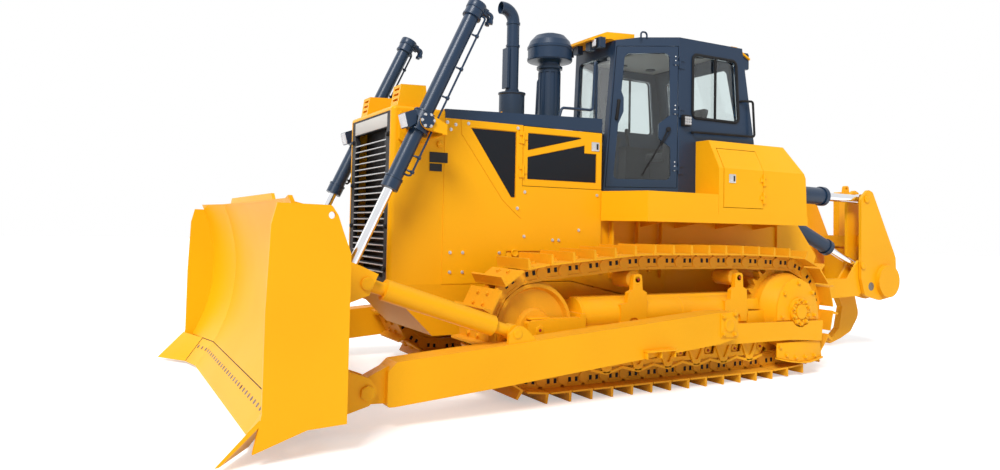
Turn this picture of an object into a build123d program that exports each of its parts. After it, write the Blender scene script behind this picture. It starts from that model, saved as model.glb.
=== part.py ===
from build123d import *
import os
from math import acos, atan2, cos, hypot, pi, radians, sin, sqrt

# Crawler bulldozer with a semi-U blade and a single-shank ripper.
# x runs forward, y to the machine's left, z up. Stations in x are counted from
# the sprocket axis; save() sets the finished pieces about the middle of the
# machine's length, with z = 0 at the tips of the grousers it stands on.

# ---- running gear ----
GAUGE = 2140            # between the middles of the two tracks
SHOE_WIDTH = 560
LINK_PITCH = 228.6      # between track pins
LINK_HALF = 72          # half the height of a track link
SHOE_PLATE = 16
GROUSER = 80
RAIL_WIDTH = 54
RAIL_GAP = 124          # between the two rails of a chain
BUSH_R = 33
CHAIN_PHASE = 60        # how far round the sprocket the first pin lies
TEETH = 27
SPROCKET_Z = 686
SPROCKET_WIDTH = 84
SPROCKET_HUB_R = 400
IDLER_X = 3135
IDLER_R = 385
IDLER_HALF = 112
ROLLER_R = 91.5
ROLLER_SHAFT = 48
ROLLER_FIRST_X = 470
ROLLER_STEP = 363
ROLLERS = 7
CARRIER_R = 85
CARRIER_X = (2083, 757)
SEAT = 0.4              # running gap between parts that seat on each other

TRACK_Y = GAUGE / 2
PIN_Z = GROUSER + SHOE_PLATE + LINK_HALF
SPROCKET_PIN_R = LINK_PITCH / 2 / sin(2 * pi / TEETH)
IDLER_PIN_R = hypot(IDLER_R + SEAT + LINK_HALF, LINK_PITCH / 2)
IDLER_Z = PIN_Z + IDLER_PIN_R
ROLLER_Z = PIN_Z + LINK_HALF + SEAT + ROLLER_R
CARRIER_Z = 1047
ROLLER_EASE = 4         # the pins' arc at the first roller is this much wider
FLAT_REAR = 110         # the chain lies flat this far behind the first roller
CHAIN_SLACK = 5         # a carrier roller lies this far under the run of the pins' arc
TRACK_OUT = TRACK_Y + SHOE_WIDTH / 2

# ---- track frame ----
FRAME_HALF = 150
FRAME_LOW = 430
FRAME_TOP = 885
FRAME_REAR = 575
FRAME_FRONT = 2690
GUARD_OUT = 215         # roller guard face, from the track's middle
EQUALIZER_X = 2280
EQUALIZER_TOP = 755
BEAM_Y = TRACK_Y + 330   # outer face of the beam beside the sprocket
HUB_Y = TRACK_Y + 280    # face of the final drive's cover
HUB_COVER_R = 315

# ---- main frame and hood ----
CASE_HALF = 560
RAIL_IN = 380             # inner face of a side rail, and its outer one
RAIL_OUT = CASE_HALF - 20
CASE_REAR = -560
CASE_LOW = 520
CASE_TOP = 1580
HOOD_HALF = CASE_HALF + 40
PANEL = 30
GUARD_HALF = HOOD_HALF - 5
NOSE_X = 4335
NOSE_TOP = 2581
NOSE_REAR = 3822
PANEL_LOW = 985
ENGINE_LOW = 980
PANEL_TOP = 2508
HOOD_REAR = 2043
HOOD_TOP_FRONT = 2592
HOOD_TOP_REAR = 2655
DOOR_FRONT = 2986
DOOR_LOW = 1922
GAP = 6                 # clearance round doors and hinged panels
HINGE_R = 10

ENGINE_HINGE = (DOOR_FRONT + 1, HOOD_HALF + HINGE_R)
ENGINE_HINGE_Z = (2000, 2330)

# ---- fenders, boxes, cab ----
FENDER_Y = 1100
FENDER_TOP = 1906
FENDER_LOW = 1603
FENDER_FRONT = 1845
FENDER_REAR = -466
SKIRT = 16
BOX_FRONT = 900
BOX_REAR = -451
BOX_LOW = 1700
BOX_TOP = 2488
BOX_KNEE = 2185
BOX_TOP_Y = 940
CAB_HALF = 750
CAB_PILLAR_X = 1144
CAB_NOSE_HALF = 312
CAB_NOSE_X = 1810
CAB_LOW = FENDER_TOP
CAB_TOP = 3600
CAB_WALL = 60
CAB_REAR = 14
SEAT_BASE_TOP = 2330

# ---- blade and its gear ----
ARM_Y = BEAM_Y + 115
ARM_WIDTH = 230
TRUNNION = (1290, 625)
BLADE_PIN = (4855, 300)
BLADE_HALF = 2065
BLADE_BEND = 1390
WING_RAKE = 130
EDGE_Z = 33
EDGE_LIP_X = 5648        # where the edge's lip stands between the wings
EDGE_LIP = 26            # thickness of the edge at its lip, along x
EDGE_THICK = 34          # and at the moldboard
EDGE_END = 1700          # the long edges stop here, and the end bits begin
END_PLATE = 30
LIFT_Y = 825
LIFT_PIVOT = (4159, 2411)
LIFT_EYE = (4881, 872)
LIFT_BARREL_R = 67.5
YOKE_PIN = 48
LIFT_ABOVE = 1176
LIFT_BELOW = 648
BRACE_REAR = (3600, 662)
BRACE_FRONT = (4880, 1085)
BRACE_PIN = 38

# ---- ripper ----
RIPPER_Y = 462
LINK_PIVOT = (-1000, 800)
LINK_PIN = (-2327, 844)
RIP_LIFT_BASE = (-760, 1700)
RIP_LIFT_EYE = (-2160, 1115)
RIP_TILT_BASE = (-760, 2005)
RIP_TILT_EYE = (-2230, 1980)
RIPPER_REAR = -2855
BASE_PIN = 42
SHANK_FRONT = -2407
SHANK_REAR = -2738
SHANK_HALF = 45
PLATE_IN = 84            # carriage plates, from the middle of a ripper cylinder
PLATE_OUT = 122
BIT_TIP = 5951

MID_X = (BIT_TIP + RIPPER_REAR) / 2


# ---- helpers ----
def outline(points):
    """Flat face from (x, z) corners; a third number rounds that corner."""
    face = make_face(Polyline(*[p[:2] for p in points], close=True))
    for radius in sorted({p[2] for p in points if len(p) > 2}):
        spots = [Vector(p[0], p[1]) for p in points if len(p) > 2 and p[2] == radius]
        picked = [v for v in face.vertices()
                  if min((Vector(v.X, v.Y) - s).length for s in spots) < 0.01]
        face = fillet(picked, radius)
    return face


def side(face, y0, y1):
    """Face drawn in (x, z), made solid from y0 to y1."""
    plane = Plane(origin=(0, y1, 0), x_dir=(1, 0, 0), z_dir=(0, -1, 0))
    return extrude(plane * face, amount=y1 - y0)


def plan(face, z0, z1):
    """Face drawn in (x, y), made solid from z0 to z1."""
    return extrude(Pos(0, 0, z0) * face, amount=z1 - z0)


def cross(face, x0, x1):
    """Face drawn in (y, z), made solid from x0 to x1."""
    plane = Plane(origin=(x0, 0, 0), x_dir=(0, 1, 0), z_dir=(1, 0, 0))
    return extrude(plane * face, amount=x1 - x0)


def box(x0, x1, y0, y1, z0, z1):
    middle = Pos((x0 + x1) / 2, (y0 + y1) / 2, (z0 + z1) / 2)
    return middle * Box(abs(x1 - x0), abs(y1 - y0), abs(z1 - z0))


def rod(a, b, radius):
    """Round bar from point a to point b."""
    start = Vector(*a)
    run = Vector(*b) - start
    return extrude(Plane(origin=start, z_dir=run) * Circle(radius), amount=run.length)


def tube(a, b, radius, bore):
    run = (Vector(*b) - Vector(*a)).normalized()
    inner = rod(Vector(*a) - run, Vector(*b) + run, bore)
    return rod(a, b, radius) - inner


def pin(at, y0, y1, radius):
    """Round pin along y at the (x, z) point."""
    return rod((at[0], y0, at[1]), (at[0], y1, at[1]), radius)


def turned(profile, at, y=0):
    """Solid of revolution about the y axis through (x, z); profile is (y, radius)."""
    plane = Plane(origin=(at[0], y, at[1]), x_dir=(0, 1, 0), z_dir=(1, 0, 0))
    face = plane * make_face(Polyline(*profile, close=True))
    return revolve(face, Axis((at[0], y, at[1]), (0, 1, 0)))


def upright(profile, x, y):
    """Solid of revolution about the vertical at (x, y); profile is (radius, z)."""
    plane = Plane(origin=(x, y, 0), x_dir=(1, 0, 0), z_dir=(0, -1, 0))
    face = plane * make_face(Polyline(*profile, close=True))
    return revolve(face, Axis((x, y, 0), (0, 0, 1)))


def right_of(shape):
    """The same piece on the machine's right."""
    return mirror(shape, about=Plane.XZ)


def pair(shape):
    return [shape, right_of(shape)]


def along(a, b, distance):
    """Point on the line from a to b, both (x, z), at this distance from a."""
    length = hypot(b[0] - a[0], b[1] - a[1])
    return (a[0] + (b[0] - a[0]) * distance / length, a[1] + (b[1] - a[1]) * distance / length)


def at_y(point, y):
    return (point[0], y, point[1])


def save(name, *shapes):
    """Write one sub-part; a list holds its left and right pieces."""
    solids = []
    for shape in shapes:
        for piece in shape if isinstance(shape, list) else [shape]:
            solids += [solid.moved(Location((-MID_X, 0, 0))) for solid in piece.solids()]
    whole = solids[0] if len(solids) == 1 else Compound(solids)
    export_step(whole, f"parts/{name}.step")


def hinge(at, z, fixed_way, leaf_way, strap=46):
    """Door hinge about the vertical at (x, y): the frame's knuckles and the door's.

    Each knuckle has a strap that lies on its panel and runs along fixed_way or leaf_way.
    """
    def part(way, z0, z1):
        knuckle = Pos(*at, (z0 + z1) / 2) * Cylinder(HINGE_R, z1 - z0)
        inward = Vector(-way[1], way[0]) if way[0] < 0 else Vector(way[1], -way[0])
        plane = Plane(origin=(*at, z0), x_dir=Vector(*way), z_dir=(0, 0, 1))
        depth = plane.y_dir.dot(inward)
        strip = Rectangle(strap, HINGE_R, align=(Align.MIN, Align.MIN if depth > 0 else Align.MAX))
        return knuckle + extrude(plane * strip, amount=z1 - z0)
    fixed = part(fixed_way, z, z + 40) + part(fixed_way, z + 80 + SEAT, z + 120)
    return fixed, part(leaf_way, z + 40 + SEAT, z + 80)


# ---- tracks ----
def pulleys(idler_x):
    """What the pin line runs round, from the sprocket down: (x, z, radius)."""
    return [
        (0, SPROCKET_Z, SPROCKET_PIN_R),
        (ROLLER_FIRST_X - FLAT_REAR, ROLLER_Z + ROLLER_EASE, ROLLER_Z + ROLLER_EASE - PIN_Z),
        (idler_x, IDLER_Z, IDLER_PIN_R),
        (CARRIER_X[0], CARRIER_Z, CARRIER_R + LINK_HALF + CHAIN_SLACK),
        (CARRIER_X[1], CARRIER_Z, CARRIER_R + LINK_HALF + CHAIN_SLACK),
    ]


def belt(wheels):
    """Arcs and straight runs of the pin line, in order: (length, point at a distance)."""
    count = len(wheels)
    leave = []
    for i, (xa, za, ra) in enumerate(wheels):
        xb, zb, rb = wheels[(i + 1) % count]
        turn = acos((ra - rb) / hypot(xb - xa, zb - za))
        leave.append(atan2(zb - za, xb - xa) - turn)
    runs = []
    for i, (x, z, r) in enumerate(wheels):
        arrive = leave[i - 1]
        sweep = (leave[i] - arrive) % (2 * pi)
        runs.append((r * sweep, lambda s, x=x, z=z, r=r, a=arrive: (
            x + r * cos(a + s / r), z + r * sin(a + s / r))))
        xb, zb, rb = wheels[(i + 1) % count]
        start = (x + r * cos(leave[i]), z + r * sin(leave[i]))
        end = (xb + rb * cos(leave[i]), zb + rb * sin(leave[i]))
        runs.append((hypot(end[0] - start[0], end[1] - start[1]),
                     lambda s, a=start, b=end: along(a, b, s)))
    return runs


def on_belt(runs, s):
    s = s % sum(run[0] for run in runs)
    for length, point in runs:
        if s <= length:
            return point(s)
        s -= length
    return runs[0][1](0)


def walk_pins(idler_x):
    """Pins one pitch apart round the belt, and how far the last step overshoots."""
    runs = belt(pulleys(idler_x))
    total = sum(run[0] for run in runs)
    count = round(total / LINK_PITCH)
    s = CHAIN_PHASE
    points = []
    for _ in range(count):
        points.append(on_belt(runs, s))
        step = LINK_PITCH
        for _ in range(5):
            ahead = on_belt(runs, s + step)
            step += LINK_PITCH - hypot(ahead[0] - points[-1][0], ahead[1] - points[-1][1])
        s += step
    return points, s - CHAIN_PHASE - total


def tension():
    """Idler station at which the chain closes, as its tensioner sets it."""
    idler_x = IDLER_X
    for _ in range(12):
        idler_x += walk_pins(idler_x)[1] / 2
    return idler_x


IDLER_SET = tension()
PINS = walk_pins(IDLER_SET)[0]


def link_plane(i, y):
    """Plane on link i: x along the chain, y outwards to the shoe, from its middle."""
    a = PINS[i]
    b = PINS[(i + 1) % len(PINS)]
    run = Vector(b[0] - a[0], 0, b[1] - a[1])
    return Plane(origin=((a[0] + b[0]) / 2, y, (a[1] + b[1]) / 2), x_dir=run, z_dir=(0, 1, 0))


def track():
    """One closed chain: rails, bushes and shoes with their grousers."""
    half = LINK_PITCH / 2
    shoe = make_face(Polyline(
        (-half + 4, LINK_HALF), (half - 4, LINK_HALF), (half - 4, LINK_HALF + SHOE_PLATE),
        (-half + 38, LINK_HALF + SHOE_PLATE), (-half + 32, LINK_HALF + SHOE_PLATE + GROUSER),
        (-half + 12, LINK_HALF + SHOE_PLATE + GROUSER), (-half + 8, LINK_HALF + SHOE_PLATE),
        close=True))
    rail = make_face(Polyline(
        (-half - 42, -10), (-half - 14, -LINK_HALF), (half + 14, -LINK_HALF),
        (half + 42, -10), (half - 24, LINK_HALF), (-half + 24, LINK_HALF), close=True))
    bush = RegularPolygon(BUSH_R, 6, rotation=30)
    middle = TRACK_Y - RAIL_GAP / 2 - RAIL_WIDTH / 2
    links = []
    for i in range(len(PINS)):
        links.append(extrude(link_plane(i, TRACK_Y - SHOE_WIDTH / 2) * shoe, amount=SHOE_WIDTH))
        for y in (middle, middle + RAIL_GAP + RAIL_WIDTH):
            links.append(extrude(link_plane(i, y - RAIL_WIDTH / 2) * rail, amount=RAIL_WIDTH))
        bushing = link_plane(i, TRACK_Y - RAIL_GAP / 2 - 1) * Pos(-half, 0) * bush
        links.append(extrude(bushing, amount=RAIL_GAP + 2))
    first = links[0].solids()[0]
    return first.fuse(*[s for link in links[1:] for s in link.solids()]).clean()


def sprocket():
    """Toothed rim; the gullets hold the bushes."""
    step = 2 * pi / TEETH
    root = SPROCKET_PIN_R - BUSH_R - SEAT
    tip = SPROCKET_PIN_R + 28
    start = atan2(PINS[0][1] - SPROCKET_Z, PINS[0][0])
    corners = []
    for i in range(TEETH):
        for share, radius in ((-0.24, root), (0.24, root), (0.42, tip), (0.58, tip)):
            angle = start + (i + share) * step
            corners.append((radius * cos(angle), SPROCKET_Z + radius * sin(angle)))
    rim = side(make_face(Polyline(*corners, close=True)),
               TRACK_Y - SPROCKET_WIDTH / 2, TRACK_Y + SPROCKET_WIDTH / 2)
    return rim - pin((0, SPROCKET_Z), TRACK_Y - SPROCKET_WIDTH, TRACK_Y + SPROCKET_WIDTH,
                     SPROCKET_HUB_R - 60)


def final_drive():
    """Inner case, sprocket hub and the D-shaped outer bearing cover."""
    centre = (0, SPROCKET_Z)
    half = SPROCKET_WIDTH / 2
    inner = turned([(CASE_HALF, 0), (CASE_HALF, 300), (CASE_HALF + 80, 330), (TRACK_Y - 170, 330),
                    (TRACK_Y - 110, 390), (TRACK_Y - half - SEAT, 390),
                    (TRACK_Y - half - SEAT, 0)], centre)
    hub = turned([(TRACK_Y - half, 0), (TRACK_Y - half, SPROCKET_HUB_R - 60 - SEAT),
                  (TRACK_Y + half, SPROCKET_HUB_R - 60 - SEAT), (TRACK_Y + half, 0)], centre)
    drum = turned([(TRACK_Y + half + SEAT, 0), (TRACK_Y + half + SEAT, 398),
                   (TRACK_Y + 115, 398), (HUB_Y, HUB_COVER_R), (HUB_Y, 0)], centre)
    foot = side(outline([(-HUB_COVER_R - 10, SPROCKET_Z), (-HUB_COVER_R - 10, 590),
                         (HUB_COVER_R + 10, 590), (HUB_COVER_R - 5, SPROCKET_Z)]), HUB_Y - 60, HUB_Y)
    cap = turned([(HUB_Y, 0), (HUB_Y, 148), (HUB_Y + 22, 140), (HUB_Y + 22, 86), (BEAM_Y, 78),
                  (BEAM_Y, 0)], centre)
    return inner + hub + drum + foot + cap


def idler():
    """Front wheel: treads under the rails, a flange between them, dished sides."""
    flange = RAIL_GAP / 2 - 6
    tread = RAIL_GAP / 2 + RAIL_WIDTH + 4
    dish = IDLER_HALF - 34
    profile = [(-IDLER_HALF - 12, 60), (-IDLER_HALF - 12, 150), (-dish, 170),
               (-dish, IDLER_R - 52), (-tread, IDLER_R - 32), (-tread, IDLER_R),
               (-flange - 4, IDLER_R), (-flange, IDLER_R + 22), (flange, IDLER_R + 22),
               (flange + 4, IDLER_R), (tread, IDLER_R), (tread, IDLER_R - 32),
               (dish, IDLER_R - 52), (dish, 170), (IDLER_HALF + 12, 150), (IDLER_HALF + 12, 60)]
    return turned(profile, (IDLER_SET, IDLER_Z), TRACK_Y)


def idler_carrier():
    """Shaft, bearing blocks and the fork that the recoil spring pushes."""
    x = IDLER_SET
    shaft = pin((x, IDLER_Z), TRACK_Y - 190, TRACK_Y + 190, 58)
    pieces = [shaft]
    for way in (-1, 1):
        inner = TRACK_Y + way * (IDLER_HALF + 16)
        outer = TRACK_Y + way * (IDLER_HALF + 90)
        low, high = sorted((inner, outer))
        block = side(outline([(x - 150, IDLER_Z - 95), (x + 120, IDLER_Z - 95, 20),
                              (x + 120, IDLER_Z + 60, 20), (x - 150, IDLER_Z + 85, 12)]), low, high)
        arm = box(FRAME_FRONT + SEAT, x - 150, low, high, IDLER_Z - 90, IDLER_Z + 80)
        pieces += [block, arm]
    neck = box(FRAME_FRONT + SEAT, x - IDLER_R - 45, TRACK_Y - IDLER_HALF - 90,
               TRACK_Y + IDLER_HALF + 90, IDLER_Z - 90, IDLER_Z + 110)
    whole = neck
    for piece in pieces:
        whole += piece
    return whole


def roller(x, z, radius):
    """Flanged roller with its shaft collars."""
    rail_in = RAIL_GAP / 2 - 3
    rail_out = RAIL_GAP / 2 + RAIL_WIDTH + 4
    profile = [(-185, 0), (-185, ROLLER_SHAFT), (-149, ROLLER_SHAFT), (-149, radius - 20),
               (-rail_out - 18, radius + 18), (-rail_out, radius + 18), (-rail_out, radius),
               (-rail_in, radius), (-rail_in, 52)]
    profile += [(-y, r) for y, r in reversed(profile)]
    return turned(profile, (x, z), TRACK_Y)


def track_rollers():
    return [roller(ROLLER_FIRST_X + i * ROLLER_STEP, ROLLER_Z, ROLLER_R) for i in range(ROLLERS)]


def carrier_roller(x):
    """Top roller on its shaft, cantilevered out to the pedestal's cap."""
    profile = [(-150, 0), (-150, 60), (-120, CARRIER_R - 10), (-112, CARRIER_R), (112, CARRIER_R),
               (120, CARRIER_R - 10), (130 - SEAT, 60), (130 - SEAT, 0)]
    return turned(profile, (x, CARRIER_Z), TRACK_Y)


def pedestal(x):
    """Bracket on the track frame that grips the carrier roller's shaft."""
    face = outline([(x - 115, 600), (x + 195, 600), (x + 195, 815), (x + 120, 830), (x + 110, 925),
                    (x + 60, 950), (x + 50, CARRIER_Z + 50, 30), (x - 50, CARRIER_Z + 50, 30),
                    (x - 60, 950), (x - 110, 925), (x - 115, 830)])
    arch = outline([(x - 25, 590), (x + 105, 590), (x + 105, 690, 60), (x - 25, 690, 60)])
    return side(face, TRACK_Y + 130, TRACK_Y + 180) - side(arch, TRACK_Y + 120, TRACK_Y + 190)


def track_frame():
    """Box frame with the recoil spring housing on top and the roller pads below."""
    low, top, half = FRAME_LOW, FRAME_TOP, FRAME_HALF
    section = make_face(Polyline(
        (TRACK_Y - half, low), (TRACK_Y + half, low), (TRACK_Y + half, low + 190),
        (TRACK_Y + 118, top - 75), (TRACK_Y + 55, top), (TRACK_Y - 55, top),
        (TRACK_Y - 118, top - 75), (TRACK_Y - half, low + 190), close=True))
    body = cross(section, FRAME_REAR, FRAME_FRONT)
    for x in CARRIER_X:
        body += pedestal(x)
    for y in (-185, 70):
        body += box(ROLLER_FIRST_X - 60, FRAME_REAR + 10, TRACK_Y + y, TRACK_Y + y + 115, low, low + 60)
    for i in range(ROLLERS):
        x = ROLLER_FIRST_X + i * ROLLER_STEP
        shaft = pin((x, ROLLER_Z), TRACK_Y - 200, TRACK_Y + 200, ROLLER_SHAFT)
        body -= pin((x, ROLLER_Z), TRACK_Y - half + 1, TRACK_Y + half - 1, ROLLER_R + 24)
        for y in (-185, 150):
            body += box(x - 60, x + 60, TRACK_Y + y, TRACK_Y + y + 35, ROLLER_Z, low + 30) - shaft
    beam = outline([(-344, 583), (-320, 368), (150, 400), (1250, 400), (1250, 600), (900, 600),
                    (200, 590)])
    hub_room = pin((0, SPROCKET_Z), TRACK_OUT, BEAM_Y + 10, 160)
    body += side(beam, TRACK_OUT + 10, BEAM_Y) - hub_room
    block_low, block_high = TRUNNION[1] - 190, TRUNNION[1] + 100
    body += box(1010, TRUNNION[0] + 110, TRACK_Y + half - 10, BEAM_Y, block_low, block_high)
    ball = turned([(0, 0), (0, 74), (52, 60), (115 - 62, 60), (115 - 10, 82), (115 + 30, 82),
                   (115 + 62, 60), (115 + 62, 0)], TRUNNION, BEAM_Y)
    return body + ball


def roller_guard():
    """Scalloped guard plate outside the rollers."""
    first = ROLLER_FIRST_X + 40
    last = ROLLER_FIRST_X + (ROLLERS - 1) * ROLLER_STEP + 180
    plate = box(first, last, TRACK_Y + GUARD_OUT - 15, TRACK_Y + GUARD_OUT, 258, 300)
    for i in range(ROLLERS):
        x = ROLLER_FIRST_X + i * ROLLER_STEP + 60
        post = outline([(x, 290), (x + 250, 290), (x + 200, FRAME_LOW + 40), (x + 45, FRAME_LOW + 40)])
        plate += side(post, TRACK_Y + GUARD_OUT - 15, TRACK_Y + GUARD_OUT)
    ledge = box(first, last, TRACK_Y + FRAME_HALF - 1, TRACK_Y + GUARD_OUT, FRAME_LOW + 20,
                FRAME_LOW + 40)
    return plate + ledge


def equalizer_bar():
    """Cross beam that carries the frame's front on the two track frames."""
    x = EQUALIZER_X
    reach = TRACK_Y - FRAME_HALF - SEAT
    beam = cross(outline([(-reach, 560), (reach, 560), (reach, 690), (400, EQUALIZER_TOP),
                          (-400, EQUALIZER_TOP), (-reach, 690)]), x - 80, x + 80)
    return beam


# ---- main frame ----
def main_frame():
    """Steering case, side rails, firewall and the panels under the fenders."""
    case = side(outline([(CASE_REAR, CASE_LOW + 120), (CASE_REAR + 160, CASE_LOW), (1150, CASE_LOW),
                         (1150, CASE_TOP), (CASE_REAR, CASE_TOP)]), -CASE_HALF, CASE_HALF)
    whole = case
    for way in (-1, 1):
        y0, y1 = sorted((way * RAIL_IN, way * RAIL_OUT))
        whole += box(1100, 3560, y0, y1, 762, ENGINE_LOW)
        y0, y1 = sorted((way * RAIL_OUT, way * (GUARD_HALF - 30)))
        whole += box(1100, 2100, y0, y1, 900, 1285)
    whole += box(3480, 3560, -RAIL_OUT, RAIL_OUT, 762, ENGINE_LOW)
    whole += box(EQUALIZER_X - 60, EQUALIZER_X + 60, -RAIL_OUT, RAIL_OUT, EQUALIZER_TOP + SEAT,
                 ENGINE_LOW)
    whole += box(HOOD_REAR, HOOD_REAR + 20, -HOOD_HALF + PANEL + GAP, HOOD_HALF - PANEL - GAP, 1200,
                 PANEL_TOP)
    whole += box(HOOD_REAR, HOOD_REAR + 20, -HOOD_HALF + PANEL, HOOD_HALF - PANEL, PANEL_TOP,
                 HOOD_TOP_FRONT - 40)
    whole += box(1100, HOOD_REAR + 10, -CASE_HALF, CASE_HALF, 1200, FENDER_TOP)
    whole += box(CASE_REAR + 60, 1150, -CASE_HALF, CASE_HALF, CASE_TOP - 10, BOX_LOW)
    whole += box(CAB_REAR, 1150, -CASE_HALF, CASE_HALF, CASE_TOP, FENDER_TOP)
    return whole


def belly_guard():
    """Trough of plate under the engine, swept up to the nose."""
    t = 30
    under = outline([(NOSE_X - 5, 940), (3900, CASE_LOW), (1152, CASE_LOW), (1152, CASE_LOW + t),
                     (3885, CASE_LOW + t), (NOSE_X - 40, 960), (NOSE_X - 5, 960)])
    cheek = outline([(NOSE_X - 5, PANEL_LOW), (NOSE_X - 5, 940), (3900, CASE_LOW),
                     (1152, CASE_LOW), (1152, 700), (2400, PANEL_LOW)])
    whole = side(under, -GUARD_HALF, GUARD_HALF)
    whole += side(cheek, GUARD_HALF - t, GUARD_HALF)
    whole += side(cheek, -GUARD_HALF, -GUARD_HALF + t)
    return whole - box(EQUALIZER_X - 90, EQUALIZER_X + 90, -700, 700, 552, 775)


def radiator_guard():
    """Heavy nose frame: side pillars with rounded fronts, a top header, open front."""
    wall = 60
    outer = box(NOSE_REAR, NOSE_X, -GUARD_HALF, GUARD_HALF, PANEL_LOW, NOSE_TOP)
    outer = fillet(outer.edges().filter_by(Axis.Z).group_by(Axis.X)[-1], 45)
    outer = fillet(outer.faces().sort_by(Axis.Z)[-1].edges().filter_by(Axis.Y).sort_by(Axis.X)[-1], 30)
    inside = box(NOSE_REAR - 10, NOSE_X - wall, -GUARD_HALF + 40, GUARD_HALF - 40, PANEL_LOW - 10,
                 NOSE_TOP - 40)
    mouth = box(NOSE_X - wall - 10, NOSE_X + 10, -540, 540, PANEL_LOW - 10, 2540)
    return outer - inside - mouth


def grille():
    """Slatted front: black side strips, header plate and horizontal slats."""
    x0, x1 = NOSE_X - 46, NOSE_X - 4
    low, high = PANEL_LOW + 15, 2540 - SEAT
    edge = 540 - SEAT
    header = box(x0, x1, -edge, edge, 2395, high)
    whole = header
    for way in (-1, 1):
        strip = cross(outline([(way * 440, low), (way * edge, low), (way * edge, 2420),
                               (way * 470, 2420), (way * 400, 2300), (way * 440, 2200)]), x0, x1)
        whole += strip
    whole += box(x0, x1, -edge, edge, low, low + 40)
    pitch = 60
    count = int((2370 - low - 60) / pitch)
    for i in range(count):
        z = low + 80 + i * pitch
        slat = side(outline([(x0 + 4, z + 20), (x0 + 4, z + 26), (x1 - 4, z + 4), (x1 - 4, z - 2)]),
                    -442, 442)
        whole += slat
    return whole


def radiator_core():
    return box(NOSE_X - 300, NOSE_X - 160, -GUARD_HALF + 40, GUARD_HALF - 40, PANEL_LOW + 10,
               NOSE_TOP - 120)


def engine_block():
    """The engine as one plain mass."""
    return box(2260, 3620, -400, 400, ENGINE_LOW, 2150)


def hood():
    """Top cover, rising a little to the rear."""
    t = 14
    face = outline([(NOSE_REAR, HOOD_TOP_FRONT - t), (HOOD_REAR, HOOD_TOP_REAR - t),
                    (HOOD_REAR, HOOD_TOP_REAR), (NOSE_REAR, HOOD_TOP_FRONT)])
    return side(face, -HOOD_HALF + PANEL, HOOD_HALF - PANEL)


def below_hood():
    """Everything under the hood's top face, to cut what stands on it."""
    return side(outline([(NOSE_REAR, 2000), (HOOD_REAR, 2000), (HOOD_REAR, HOOD_TOP_REAR),
                         (NOSE_REAR, HOOD_TOP_FRONT)]), -HOOD_HALF, HOOD_HALF)


def hood_strip():
    """Deep rail along the hood's edge, above the side doors."""
    face = outline([(NOSE_REAR, PANEL_TOP), (HOOD_REAR, PANEL_TOP), (HOOD_REAR, HOOD_TOP_REAR),
                    (NOSE_REAR, HOOD_TOP_FRONT)])
    return side(face, HOOD_HALF - PANEL, HOOD_HALF)


def side_panel():
    """Fixed plates beside the engine: front plate, bolted mesh panel, lower cover."""
    face = outline([(NOSE_REAR - SEAT, PANEL_LOW), (NOSE_REAR - SEAT, PANEL_TOP), (DOOR_FRONT + 4, PANEL_TOP),
                    (DOOR_FRONT + 4, DOOR_LOW - GAP), (HOOD_REAR, DOOR_LOW - GAP), (HOOD_REAR, 1290),
                    (3156, 1290), (3156, PANEL_LOW)])
    window = outline([(3560, 2443, 8), (3060, 2443, 8), (3060, 1790, 8), (3110, 1790, 20)])
    sheet = side(face, HOOD_HALF - PANEL, HOOD_HALF) - side(window, HOOD_HALF - PANEL - 5,
                                                            HOOD_HALF + 5)
    mesh = side(offset(window, amount=10), HOOD_HALF - PANEL + 8, HOOD_HALF - 12)
    seam = Polyline((3664, PANEL_TOP), (3653, 2372), (3205, 1774), (3050, 1640), (2992, 1600))
    groove = side(trace(seam, 5), HOOD_HALF - 7, HOOD_HALF + 5)
    whole = sheet + mesh - groove
    for z in ENGINE_HINGE_Z:
        whole += hinge(ENGINE_HINGE, z, (1, 0), (-1, 0))[0]
    return whole


def engine_door():
    """Side door with two mesh windows parted by a slanting bar."""
    x0, x1 = HOOD_REAR + 4, DOOR_FRONT - 2
    low, high = DOOR_LOW, PANEL_TOP - GAP
    leaf = side(outline([(x0, low), (x1, low), (x1, high), (x0, high)]), HOOD_HALF - PANEL, HOOD_HALF)
    upper = outline([(x1 - 50, high - 60, 10), (x1 - 50, 2265, 10), (2290, 2430, 6),
                     (2330, high - 60, 6)])
    lower = outline([(x1 - 50, 2205, 10), (x1 - 50, 1985, 10), (2110, 1985, 10), (2110, 2285, 10),
                     (2260, 2285, 6), (2260, 2365, 6)])
    for window in (upper, lower):
        leaf -= side(window, HOOD_HALF - PANEL - 5, HOOD_HALF + 5)
        leaf += side(offset(window, amount=8), HOOD_HALF - PANEL + 8, HOOD_HALF - 12)
    for z in ENGINE_HINGE_Z:
        leaf += hinge(ENGINE_HINGE, z, (1, 0), (-1, 0))[1]
    return leaf


def exhaust_stack():
    """Muffler collar and the tail pipe, turned forward at the top."""
    x, bend = 2785, 130
    collar = upright([(0, 2590), (125, 2590), (135, 2640), (135, 2905), (145, 2915), (145, 2930),
                      (66, 2935), (0, 2935)], x, 0)
    route = Wire([Line((x, 0, 2930), (x, 0, 3693)),
                  ThreePointArc((x, 0, 3693), (x + bend * (1 - cos(radians(45))), 0,
                                               3693 + bend * sin(radians(45))),
                                (x + bend, 0, 3693 + bend)),
                  Line((x + bend, 0, 3693 + bend), (x + bend + 25, 0, 3693 + bend))])
    start = Plane(origin=(x, 0, 2930), z_dir=(0, 0, 1))
    pipe = sweep(start * Circle(66), path=route)
    bore = rod((x + bend - 60, 0, 3693 + bend), (x + bend + 40, 0, 3693 + bend), 60)
    shield = box(x + 66, x + 92, -55, 55, 2975, 3400)
    return collar + pipe - bore + shield - below_hood()


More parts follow.
